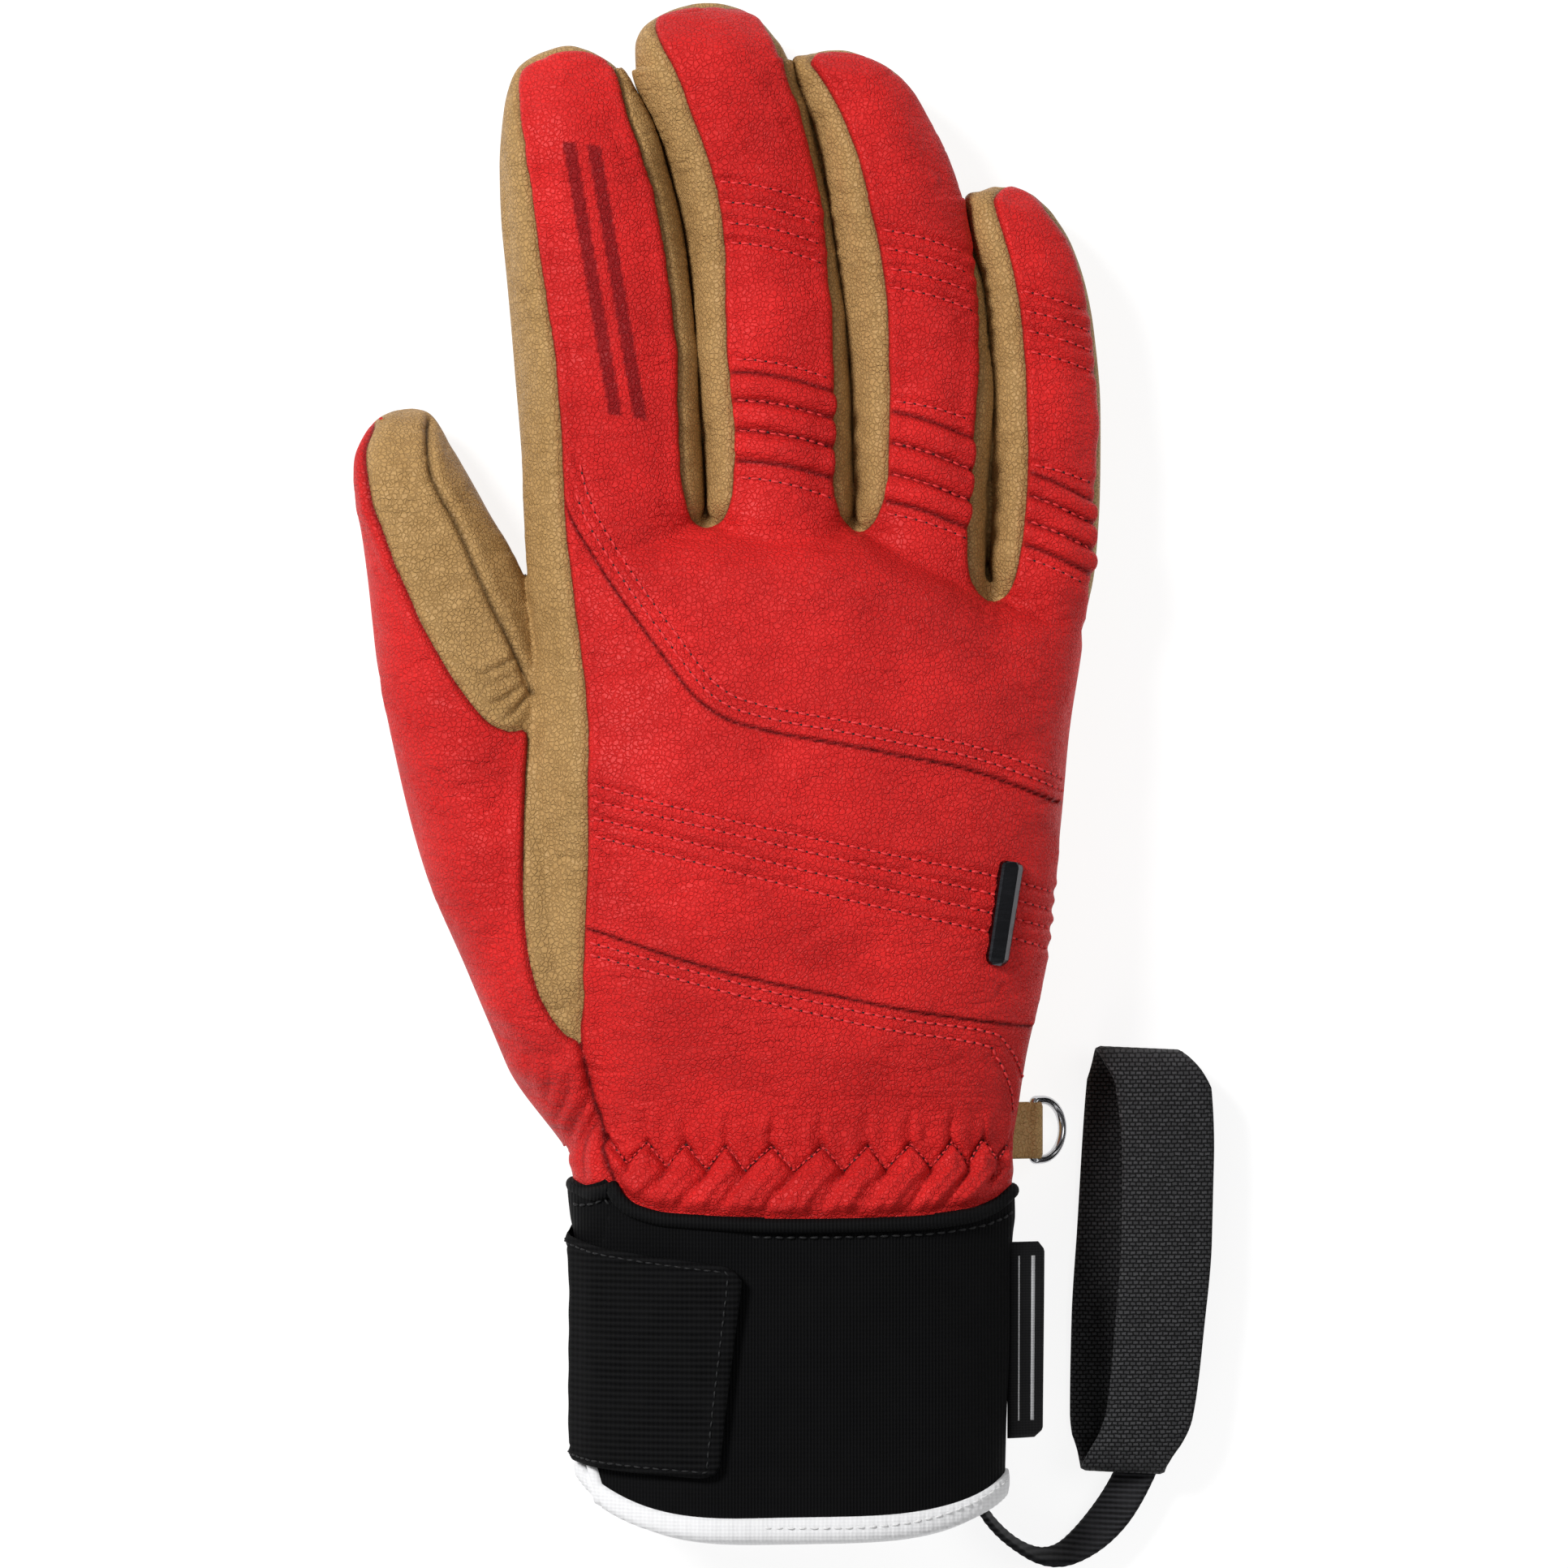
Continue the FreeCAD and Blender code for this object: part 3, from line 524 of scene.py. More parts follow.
def along_finger(f, x, y, kind):
    """Place along a finger of a point, so that slanting rows are lines of one value."""
    u = x - finger_centre(f, y)
    return y - f[kind] * u + 0.010 * u * u


def relief(co, no):
    """Height of the leather above the plain surface, and painted shade: how much its creases, folds and seam grooves
    are darkened.
    """
    q = co[:, :2]
    up = smoothstep(no[:, 2], 0.02, 0.35)
    h = np.zeros(len(q))
    dark = np.zeros(len(q))

    # painted shade: the colour is darkened where shade falls in creases, folds and seam grooves
    def paint_shade(amount):
        np.maximum(dark, amount, out=dark)

    def line(points):
        return line_distance(q, soft_line(points))

    red = red_distance(q)
    thumb_zone = (co[:, 0] < -20) & (co[:, 1] < 72)
    # the side of each panel, seen from below, turns to the palm leather
    split = np.where(co[:, 1] > 40, 13.5, 15.0)
    lowest = np.where(thumb_zone & (co[:, 0] < -37), 9.0, split)
    red = np.minimum(red, co[:, 2] - lowest)

    edge = np.where(up > 0, np.abs(red), 9.0)
    inner = red > 0
    h += up * np.where(inner, 0.55 * ridge(red - 1.3, 1.3), 0.35 * ridge(red + 2.6, 1.8))
    h -= up * 0.75 * ridge(edge, 0.5)
    # painted shade along the groove at each panel edge
    paint_shade(up * 0.85 * ridge(edge, np.where(inner, 0.34, 0.22)))

    s = line(THUMB_SEAM)
    in_thumb = up * (co[:, 0] < -34)
    h -= in_thumb * 0.8 * ridge(s, 0.6)
    h += in_thumb * 0.35 * ridge(np.abs(s) - 1.8, 1.2)
    # painted shade in the thumb seam's groove
    paint_shade(in_thumb * ridge(s, 0.4))

    for fold in THUMB_FOLDS:
        s = line(fold)
        ends = np.array([fold[0], fold[-1]])
        away = np.hypot(*(q - ends.mean(0)).T) / np.linalg.norm(ends[1] - ends[0])
        here = in_thumb * np.exp(-((away / 0.55) ** 4))
        h += here * (0.30 * ridge(np.abs(s) - 1.2, 0.9) - 0.5 * ridge(s, 0.5))
        # painted shade in the thumb folds
        paint_shade(here * 0.4 * ridge(s, 0.38))

    body = smoothstep(red, 0.0, 1.2) * up
    s = line(UPPER_SEAM)
    on = body * smoothstep(co[:, 0], -32.5, -31.0)
    h += on * np.where(s > 0, 0.62 * np.exp(-s / 5.0), -0.30 * np.exp(s / 3.0))
    h -= on * 0.35 * ridge(s, 0.35)
    # painted shade in the diagonal seam's groove
    paint_shade(on * ridge(s + 0.15, 0.32))
    for off in (2.2, 4.3):
        h -= on * 0.26 * ridge(s - off, 0.7)
    h += on * 0.16 * ridge(s - 3.1, 0.5)

    for row in ROWS:
        s = line(row)
        h -= body * 0.42 * ridge(s, 0.75)
        h += body * 0.16 * ridge(np.abs(s) - 1.7, 0.8)

    s = line(LOWER_SEAM)
    h += body * np.where(s > 0, 0.55 * np.exp(-s / 4.5), -0.22 * np.exp(s / 4.0)) * (np.abs(s) < 11)
    h -= body * 0.3 * ridge(s, 0.35)
    # painted shade in the lower seam's groove
    paint_shade(body * ridge(s + 0.15, 0.32))
    for row in LOWER_ROWS:
        s = line(row)
        h -= body * 0.3 * ridge(s, 0.7)

    s = line(WRIST_CREASE)
    near = up * smoothstep(co[:, 1], -52, -56)
    h -= near * 0.9 * ridge(s, 0.8)
    h += near * np.where(s > 0, 0.0, 0.7 * ridge(np.abs(s) - 2.5, 2.0))
    # painted shade in the wrist crease
    paint_shade(near * ridge(s, 0.45))

    for f in FINGERS.values():
        half = finger_half(f, co[:, 1])
        mid = finger_centre(f, co[:, 1])
        within = (np.abs(co[:, 0] - mid) < half + 1.0) * (co[:, 1] > f["start"] - 8)
        mine = up * smoothstep(red, 0.2, 1.4) * within
        along = along_finger(f, co[:, 0], co[:, 1], "row_slope")
        for y in f["rows"]:
            h -= mine * 0.5 * ridge(along - y, 0.75)
            h += mine * 0.22 * ridge(np.abs(along - y) - 1.8, 0.8)
        if f["pleats"]:
            p = f["pleats"]
            along = along_finger(f, co[:, 0], co[:, 1], "pleat_slope")
            for a, b in zip(p[:-1], p[1:]):
                t = np.clip((along - b) / (a - b), 0, 1)
                h += mine * 1.6 * np.sin(np.pi * t) ** 0.6 * (along > b) * (along < a)
            for y in p:
                h -= mine * 0.5 * ridge(along - y, 0.55)
                # painted shade in the pleat valleys
                paint_shade(mine * 0.9 * ridge(along - y, 0.45))
            along = along_finger(f, co[:, 0], co[:, 1], "base_slope")
            h -= mine * 0.4 * ridge(along - f["base_row"], 0.8)

    # upright folds of the thumb's base above the cuff
    base = smoothstep(no[:, 2], 0.35, 0.75)
    base = base * smoothstep(-co[:, 0], 22.5, 25.0) * smoothstep(-co[:, 1], 54.0, 66.0)
    wave = np.sin((co[:, 0] - 0.30 * (co[:, 1] + 60.0)) * 1.5 + 1.1 * np.sin(co[:, 1] * 0.33))
    h += base * 0.4 * wave
    # painted shade in the troughs of the thumb base folds
    paint_shade(base * 0.5 * np.clip(-wave, 0, 1) ** 7)
    cross = np.sin(co[:, 1] * 0.75 + 0.16 * co[:, 0] + 1.5 * np.sin(co[:, 0] * 0.3))
    h += up * smoothstep(-co[:, 0], 24.0, 30.0) * smoothstep(-co[:, 1], 30.0, 44.0) * 0.22 * cross

    # wrist gathers: puffs that lean to the thumb under the zigzag stitching
    zig, toward_valley = zigzag(co[:, 0])
    under = zig - co[:, 1]
    below = np.clip(-76.6 - co[:, 1], 0, 9)
    _, lean_valley = zigzag(co[:, 0] + 0.75 * below)
    wrist = up * (co[:, 0] > -23) * smoothstep(co[:, 1], -60, -68)
    puff = smoothstep(under, 0.0, 1.8) * (0.35 + 1.15 * np.cos(lean_valley * np.pi / 2) ** 1.1)
    fan = np.sin((co[:, 0] + 0.75 * below) * 2.3 + 1.8 * np.sin(co[:, 1] * 0.6))
    fullness = 1.25 * (1 - 0.75 * smoothstep(co[:, 0], 48.0, 55.0))
    h += wrist * (fullness * puff + 0.24 * fan * smoothstep(under, 0.5, 3.0))
    h -= wrist * 0.8 * ridge(under, 0.65)
    fold = ridge(1 - lean_valley, 0.2) * smoothstep(under, -0.5, 1.0)
    h -= wrist * fold * 0.6 * (1 - smoothstep(under, 5.0, 9.0))
    # painted shade under the zigzag stitching and in the gathers' folds
    paint_shade(wrist * 0.75 * ridge(under, 0.42))
    paint_shade(wrist * 0.5 * fold ** 4 * (1 - smoothstep(under, 2.5, 6.5)))
    pull = ridge(toward_valley, 0.16) * smoothstep(under, -9.0, -0.8) * (under < 0.5)
    h -= wrist * pull * 0.5
    side_pull = np.sin(co[:, 0] * 1.5 + 0.8 * np.sin(co[:, 1] * 0.7))
    side_pull = side_pull * smoothstep(under, -12.0, -1.0) * (under < 0)
    h -= wrist * 0.26 * side_pull
    end = leather_end(co[:, 0])
    near_end = smoothstep(co[:, 1] - end, 3.4, 0.2) * smoothstep(no[:, 2], -2.0, -1.0)
    h = h * (1 - near_end) - 0.5 * near_end

    # soft folds and wrinkles
    broad = field_noise(q, (26.0, 20.0), 1.3)
    mid_n = field_noise(q, (9.0, 4.5), 4.1)
    fine = field_noise(q, (3.6, 1.7), 8.2)
    calm = 1 - 0.8 * near_end
    h += up * calm * (1.15 * broad + 0.42 * mid_n + 0.10 * fine)
    creases = np.clip(1 - np.abs(field_noise(q, (10.0, 2.3), 15.7)) / 0.10, 0, 1)
    where = smoothstep(field_noise(q, (22.0, 18.0), 21.1), -0.15, 0.3)
    wristward = smoothstep(co[:, 1], -48.0, -66.0)
    wristward = wristward + smoothstep(co[:, 0], -34.0, -42.0) * smoothstep(co[:, 1], 66.0, 20.0)
    h -= up * calm * 0.26 * creases * np.maximum(where, np.clip(wristward, 0, 1))

    # facing sides of neighbouring fingers close up to a hair line
    order = list(FINGERS.values())
    for k, f in enumerate(order):
        start = smoothstep(co[:, 1], f["start"] + 0.5, f["start"] + 5.0)
        mid = finger_centre(f, co[:, 1])
        tip = f["edges"][-1][0]
        mine = (np.abs(co[:, 0] - mid) < finger_half(f, co[:, 1]) + 0.5) & (co[:, 1] < tip)
        for other, way in ((k - 1, -1), (k + 1, 1)):
            if other < 0 or other > 3:
                continue
            g = order[other]
            wall = mid + way * finger_half(f, co[:, 1])
            facing = finger_centre(g, co[:, 1]) - way * finger_half(g, co[:, 1])
            gap = way * (facing - wall)
            close = np.clip((gap + 0.15) / 2, 0, 0.9) * (gap < 3.2) * (co[:, 1] < g["edges"][-1][0] - 3)
            h += mine * start * close * smoothstep(way * no[:, 0], 0.35, 0.85)
    return h, dark, red


# ---------------------------------------------------------------- materials
def new_material(name):
    """Empty material: itself, its node tree and its shader."""
    m = bpy.data.materials.new(name)
    m.use_nodes = True
    nt = m.node_tree
    nt.nodes.clear()
    b = nt.nodes.new("ShaderNodeBsdfPrincipled")
    nt.links.new(b.outputs[0], nt.nodes.new("ShaderNodeOutputMaterial").inputs[0])
    return m, nt, b


def put(nt, n, inputs):
    """Sets a node's inputs, each to a number, a colour or another node's output."""
    for key, value in inputs.items():
        socket = n.inputs[key]
        if isinstance(value, bpy.types.NodeSocket):
            nt.links.new(value, socket)
        elif socket.type == "RGBA":
            socket.default_value = (*value, 1.0)
        else:
            socket.default_value = value


def node(nt, kind, inputs, **sets):
    n = nt.nodes.new(kind)
    for k, v in sets.items():
        setattr(n, k, v)
    put(nt, n, inputs)
    return n


def mm_coords(nt, scale=(1, 1, 1)):
    """Object coordinates in millimetres."""
    at = node(nt, "ShaderNodeTexCoord", {}).outputs["Object"]
    return node(nt, "ShaderNodeMapping", {"Vector": at, "Scale": [1000.0 * s for s in scale]}).outputs["Vector"]


def math_node(nt, op, a, b, clamp=False):
    return node(nt, "ShaderNodeMath", {0: a, 1: b}, operation=op, use_clamp=clamp).outputs[0]


def mix_colour(nt, fac, a, b, mode="MIX"):
    return node(nt, "ShaderNodeMix", {0: fac, 6: a, 7: b}, data_type="RGBA", blend_type=mode).outputs[2]


def noise_tex(nt, vec, scale, detail=3.0, rough=0.55):
    n = node(nt, "ShaderNodeTexNoise", {"Vector": vec, "Scale": scale, "Detail": detail, "Roughness": rough})
    return n.outputs["Fac"]


def warped(nt, vec, scale, amount=1.0):
    """Coordinates pushed about by noise, so that a pattern isn't regular."""
    push = node(nt, "ShaderNodeTexNoise", {"Vector": vec, "Scale": scale}).outputs["Color"]
    if amount != 1.0:
        push = node(nt, "ShaderNodeVectorMath", {0: push, "Scale": amount}, operation="SCALE").outputs[0]
    return node(nt, "ShaderNodeVectorMath", {0: vec, 1: push}, operation="ADD").outputs[0]


def ramp(nt, fac, low, high):
    return node(nt, "ShaderNodeMapRange", {0: fac, 1: low, 2: high}, clamp=True).outputs[0]


def spread(nt, fac, low, high):
    """0..1 taken to low..high."""
    return node(nt, "ShaderNodeMapRange", {0: fac, 3: low, 4: high}).outputs[0]


def bump(nt, bsdf, height, strength, distance_mm, before=None):
    n = node(nt, "ShaderNodeBump", {"Strength": strength, "Distance": distance_mm * MM, "Height": height})
    if before is not None:
        nt.links.new(before, n.inputs["Normal"])
    nt.links.new(n.outputs[0], bsdf.inputs["Normal"])
    return n.outputs[0]


def leather_grain(nt, b, wrinkle=0.5):
    """Pebbled grain, fine noise and stretched wrinkles as three layers of bump."""
    v = mm_coords(nt)
    pores = node(nt, "ShaderNodeTexVoronoi", {"Vector": warped(nt, v, 0.9), "Scale": 1.15},
                 feature="DISTANCE_TO_EDGE")
    cell = ramp(nt, pores.outputs["Distance"], 0.0, 0.17)
    fine = noise_tex(nt, v, 3.4, 3.0, 0.5)
    long = node(nt, "ShaderNodeTexNoise", {
        "Vector": mm_coords(nt, (0.16, 0.62, 0.3)), "Scale": 1.0, "Detail": 3.0, "Distortion": 0.15})
    patches = ramp(nt, noise_tex(nt, v, 0.07, 2.0), 0.42, 0.62)
    lines = math_node(nt, "MULTIPLY", ramp(nt, long.outputs["Fac"], 0.36, 0.60), patches)
    first = bump(nt, b, cell, 1.0, 0.13)
    second = bump(nt, b, fine, 0.12, 0.05, first)
    bump(nt, b, lines, wrinkle, 0.40, second)
    return cell, fine


def leather_material():
    """Red and tan leather in one shader: the panel edge and the painted shade of creases, folds and seam grooves are
    stored on the mesh.
    """
    m, nt, b = new_material("glove_leather")
    v = mm_coords(nt)
    panel, crease_shade, stripe = (node(nt, "ShaderNodeAttribute", {}, attribute_name=a).outputs["Fac"]
                             for a in ("panel", "crease_shade", "stripe"))
    is_red = ramp(nt, panel, -0.05, 0.05)
    big = noise_tex(nt, v, 0.05, 3.0)
    mid = noise_tex(nt, v, 0.30, 3.0, 0.55)
    red = mix_colour(nt, ramp(nt, big, 0.35, 0.65), (0.51, 0.0150, 0.0145), (0.70, 0.0215, 0.0205))
    red = mix_colour(nt, math_node(nt, "MULTIPLY", mid, 0.4), red, (0.72, 0.0225, 0.0215))
    tan = mix_colour(nt, ramp(nt, big, 0.35, 0.65), (0.39, 0.227, 0.082), (0.445, 0.265, 0.101))
    tan = mix_colour(nt, ramp(nt, mid, 0.35, 0.8), tan, (0.50, 0.304, 0.120))
    tone = mix_colour(nt, is_red, tan, red)
    cell, fine = leather_grain(nt, b, 0.6)
    net = math_node(nt, "SUBTRACT", 0.34, math_node(nt, "MULTIPLY", is_red, 0.14))
    tone = mix_colour(nt, net, tone, mix_colour(nt, cell, (0.30, 0.24, 0.20), (1.0, 1.0, 1.0)), "MULTIPLY")
    tone = mix_colour(nt, math_node(nt, "MULTIPLY", stripe, 0.85), tone, (0.20, 0.006, 0.008))
    # painted shade: where the mesh marks creases, folds and seam grooves, the colour is darkened towards this
    shade = mix_colour(nt, is_red, (0.10, 0.055, 0.02), (0.05, 0.002, 0.003))
    tone = mix_colour(nt, math_node(nt, "MULTIPLY", crease_shade, 0.92, clamp=True), tone, shade)
    put(nt, b, {"Base Color": tone, "Roughness": spread(nt, fine, 0.38, 0.56), "Specular IOR Level": 0.13})
    return m


def plain_leather(name, dark, light):
    m, nt, b = new_material(name)
    tone = mix_colour(nt, ramp(nt, noise_tex(nt, mm_coords(nt), 0.12, 4.0), 0.3, 0.7), dark, light)
    leather_grain(nt, b, 0.5)
    put(nt, b, {"Base Color": tone, "Roughness": 0.5, "Specular IOR Level": 0.26})
    return m


def woven(name, dark, light, pitch=(0.9, 0.9), depth=0.12, axis_mix=0.5, rough=0.85, sheen=0.15, spec=0.2):
    """Cloth from two crossing sets of threads."""
    m, nt, b = new_material(name)
    v = mm_coords(nt)
    waves = [node(nt, "ShaderNodeTexWave",
                  {"Vector": v, "Scale": 0.314 / p, "Distortion": 0.35, "Detail": 1.0, "Detail Scale": 2.0},
                  wave_type="BANDS", bands_direction=way, wave_profile="SIN").outputs["Fac"]
             for way, p in zip("XY", pitch)]
    both = node(nt, "ShaderNodeMix", {0: axis_mix, 2: waves[0], 3: waves[1]}, data_type="FLOAT").outputs[0]
    patchy = ramp(nt, noise_tex(nt, v, 0.18, 3.0), 0.4, 0.75)
    tone = mix_colour(nt, both, dark, light)
    tone = mix_colour(nt, math_node(nt, "MULTIPLY", patchy, 0.35), tone, light)
    put(nt, b, {"Base Color": tone, "Roughness": rough, "Specular IOR Level": spec, "Sheen Weight": sheen,
                "Sheen Roughness": 0.5})
    bump(nt, b, noise_tex(nt, v, 2.4, 3.0), 0.4, 0.08, bump(nt, b, both, 0.7, depth))
    return m


def knit_rows(name, dark, light, length, height):
    """Elastic webbing: staggered short stitches in rows."""
    m, nt, b = new_material(name)
    v = mm_coords(nt)
    rows = node(nt, "ShaderNodeTexBrick", {
        "Vector": warped(nt, v, 0.8, 0.5), "Scale": 1.0, "Brick Width": length, "Row Height": height,
        "Mortar Size": 0.24, "Mortar Smooth": 1.0, "Color1": (1, 1, 1), "Color2": (0.6, 0.6, 0.6),
        "Mortar": (0, 0, 0)}).outputs["Color"]
    put(nt, b, {"Base Color": mix_colour(nt, rows, dark, light), "Roughness": 0.75, "Specular IOR Level": 0.14})
    bump(nt, b, noise_tex(nt, v, 2.6, 3.0), 0.4, 0.1, bump(nt, b, rows, 0.8, 0.3))
    return m


def metal(name, colour, rough):
    """Metal with faint long scratches."""
    m, nt, b = new_material(name)
    scratch = noise_tex(nt, mm_coords(nt, (0.4, 3.0, 1.0)), 1.0, 3.0)
    tone = mix_colour(nt, noise_tex(nt, mm_coords(nt), 0.5), colour, tuple(c * 0.85 for c in colour))
    shine = spread(nt, scratch, rough * 0.7, rough * 1.5)
    put(nt, b, {"Base Color": tone, "Roughness": shine, "Metallic": 1.0})
    return m


def thread(name, dark, light):
    m, nt, b = new_material(name)
    strands = noise_tex(nt, mm_coords(nt), 3.0, 2.0)
    tone = mix_colour(nt, ramp(nt, strands, 0.3, 0.7), dark, light)
    put(nt, b, {"Base Color": tone, "Roughness": 0.6, "Specular IOR Level": 0.3})
    bump(nt, b, strands, 0.4, 0.06)
    return m


LEATHER = leather_material()
TAN = plain_leather("tan_leather", (0.46, 0.27, 0.100), (0.58, 0.36, 0.145))
FLEECE = woven("fleece", (0.006, 0.006, 0.0066), (0.018, 0.018, 0.020), (1.3, 1.1), 0.3, rough=0.95, sheen=0.1,
               spec=0.1)
NEOPRENE = woven("neoprene_knit", (0.0016, 0.0016, 0.0018), (0.0056, 0.0056, 0.006), (0.62, 0.85), 0.22, 0.16,
                 rough=0.8, sheen=0.0, spec=0.06)
TAB_CLOTH = woven("tab_cloth", (0.0010, 0.0010, 0.0012), (0.0078, 0.0078, 0.0082), (0.9, 1.2), 0.26, 0.75,
                  rough=0.85, sheen=0.0, spec=0.06)
BLACK_ROLL = woven("black_binding", (0.0016, 0.0016, 0.0018), (0.006, 0.006, 0.0064), (0.7, 0.9), 0.16, 0.2,
                   rough=0.75, sheen=0.0, spec=0.08)
WHITE_TAPE = woven("white_binding", (0.76, 0.76, 0.77), (0.86, 0.86, 0.87), (0.8, 0.7), 0.08, 0.5, rough=0.8)
LOOP_PILE = woven("loop_pile", (0.004, 0.004, 0.0045), (0.02, 0.02, 0.022), (0.7, 0.7), 0.4, rough=0.95,
                  sheen=0.3)
HOOKS = woven("hook_tape", (0.004, 0.004, 0.0045), (0.03, 0.03, 0.032), (1.1, 1.1), 0.5, rough=0.4, spec=0.4)
LABEL = woven("woven_label", (0.004, 0.004, 0.0045), (0.012, 0.012, 0.013), (0.6, 0.5), 0.08, 0.6, rough=0.6,
              sheen=0.02, spec=0.1)
LABEL_STRIPE = woven("label_stripe", (0.30, 0.30, 0.31), (0.55, 0.55, 0.56), (0.5, 0.5), 0.06, 0.5, rough=0.7)
ELASTIC = knit_rows("leash_elastic", (0.0012, 0.0012, 0.0014), (0.058, 0.058, 0.061), 1.15, 0.82)
GROSGRAIN = woven("grosgrain", (0.002, 0.002, 0.0022), (0.030, 0.030, 0.033), (1.0, 1.0), 0.3, 0.9, rough=0.75,
                  sheen=0.0, spec=0.12)
CHROME = metal("chrome", (0.62, 0.62, 0.64), 0.14)
GUNMETAL = metal("gunmetal", (0.045, 0.046, 0.052), 0.22)
RED_THREAD = thread("red_thread", (0.62, 0.026, 0.027), (0.84, 0.052, 0.055))
BLACK_THREAD = thread("black_thread", (0.004, 0.004, 0.0045), (0.014, 0.014, 0.015))
WHITE_THREAD = thread("white_thread", (0.7, 0.7, 0.7), (0.85, 0.85, 0.85))
# painted shade: near-black discs that stand for the shade inside the needle holes
HOLE_SHADE = thread("needle_hole_shade", (0.006, 0.001, 0.001), (0.012, 0.002, 0.002))


# ------------------------------------------------------------ leather shell
skin = base_volume("skin", 0.5, 9)
co = coords(skin.data)
no = normals(skin.data)
# dark holds painted shade for the creases, folds and seam grooves; it goes onto the mesh for the leather shader
height, dark, red = relief(co, no)
co = co + no * height[:, None]
co[:, 2] = np.maximum(co[:, 2], 0.35)
set_coords(skin.data, co)
applied(skin, "SMOOTH", factor=0.35, iterations=1)
co = coords(skin.data)
no = normals(skin.data)


def index_stripes():
    """Two plain printed stripes along the index finger."""
    lane = co[:, 0] + 23.0 + (co[:, 1] - 92.0) * 0.17
    level = co[:, 1] + 0.15 * lane
    ends = smoothstep(level, 66.0, 66.3) * (1 - smoothstep(level, 118.0, 118.3))
    return (1 - smoothstep(np.abs(np.abs(lane) - 2.3), 1.15, 1.4)) * ends * smoothstep(no[:, 2], 0.1, 0.3)


stripe = index_stripes()

me = skin.data
polys = np.array([tuple(p.vertices) if len(p.vertices) == 4 else tuple(p.vertices) + (p.vertices[-1],)
                  for p in me.polygons])
centre = co[polys].mean(1)
tree = BVHTree.FromPolygons([Vector(c) for c in co], [tuple(p) for p in polys.tolist()])


def lean_way(lean):
    """Direction in plan that leans to the thumb by so many degrees."""
    return np.array([-math.sin(math.radians(lean)), math.cos(math.radians(lean))])


def bend_ends(hinge, lean, before, after):
    """Where leather starts to bend and where it follows the finger fully, in metres."""
    start, end = hinge - lean_way(lean) * before, hinge + lean_way(lean) * after
    return (start[0] * MM, start[1] * MM, 0.0115), (end[0] * MM, end[1] * MM, 0.0115)


THUMB_HINGE, THUMB_LEAN, THUMB_BEFORE, THUMB_AFTER = (-52.3, 22.7), 13.0, 10.0, 16.0
BENDS = {n + "_finger": bend_ends(f["hinge"], f["lean"], f["hinge"][1] - f["start"], f["end"] - f["hinge"][1])
         for n, f in FINGERS.items()}
BENDS["thumb"] = bend_ends(THUMB_HINGE, THUMB_LEAN, THUMB_BEFORE, THUMB_AFTER)
NAMES = ["hand"] + list(FINGERS) + ["thumb"]
BODIES = ["hand"] + list(BENDS)
# the tab stays sewn at the side and bends open from there
BENDS["closure_tab"] = ((-0.0295, -0.111, 0.0195), (-0.0280, -0.111, 0.0300))


def where_faces(c):
    """Which body of BODIES each face belongs to."""
    owner = np.zeros(len(c), int)
    for k, f in enumerate(FINGERS.values()):
        t = (c[:, :2] - f["hinge"]) @ lean_way(f["lean"])
        half = finger_half(f, c[:, 1]) + 1.3
        mine = (t > f["start"] - f["hinge"][1]) & (np.abs(c[:, 0] - finger_centre(f, c[:, 1])) < half)
        owner[mine & (owner == 0)] = k + 1
    t = (c[:, :2] - THUMB_HINGE) @ lean_way(THUMB_LEAN)
    axis_x = pchip(*table(THUMB, 1, 0), c[:, 1])
    mine = (t > -THUMB_BEFORE) & (c[:, 0] < -35.8) & (np.abs(c[:, 0] - axis_x) < 20.0) & (c[:, 1] < 75)
    gap = np.interp(c[:, 1], [10.0, 19.0, 33.0, 41.0, 50.0, 70.0], [-36.2, -36.4, -38.0, -41.2, -44.8, -48.0])
    owner[mine & (c[:, 0] < gap)] = 5
    return owner


def piece(name, verts, faces, material, slot, stands_for=(), body="hand", hole=None, **kw):
    """A finished object: it rides its body, or has its transform baked when its body is listed in BENDS, and stands
    for CAD nodes.
    """
    ob = make_object(name, verts, faces, materials=[material, hole] if hole else [material], **kw)
    tie(ob, body)
    if stands_for:
        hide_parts(*stands_for)
    return ob


def tie(ob, body):
    if body in BENDS:
        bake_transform(ob)
    else:
        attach(ob, body)


def cut_piece(name, keep, material):
    """A piece of the leather shell, with the shading it had in the whole."""
    ids = np.where(keep)[0]
    used, back = np.unique(polys[ids], return_inverse=True)
    back = back.reshape(-1, 4)
    ob = make_object(name, co[used], [tuple(dict.fromkeys(r)) for r in back.tolist()], materials=[material])
    if len(ob.data.vertices) == len(used):
        ob.data.normals_split_custom_set_from_vertices([tuple(n) for n in no[used]])
    # the dark values go on as painted shade for creases, folds and seam grooves
    for key, values in (("panel", red), ("crease_shade", dark), ("stripe", stripe)):
        at = ob.data.attributes.new(key, "FLOAT", "POINT")
        at.data.foreach_set("value", values[used].astype(np.float32))
    return ob


owner = where_faces(centre)
face_red = red[polys].mean(1) > 0
keep_wrist = centre[:, 1] > leather_end(centre[:, 0]) - 0.9
for k, n in enumerate(NAMES):
    for colour in (True, False):
        keep = (owner == k) & (face_red == colour) & keep_wrist
        if not keep.any():
            continue
        tag = n + ("_back_leather" if colour else "_side_leather")
        ob = cut_piece(tag, keep, LEATHER)
        tie(ob, BODIES[k])

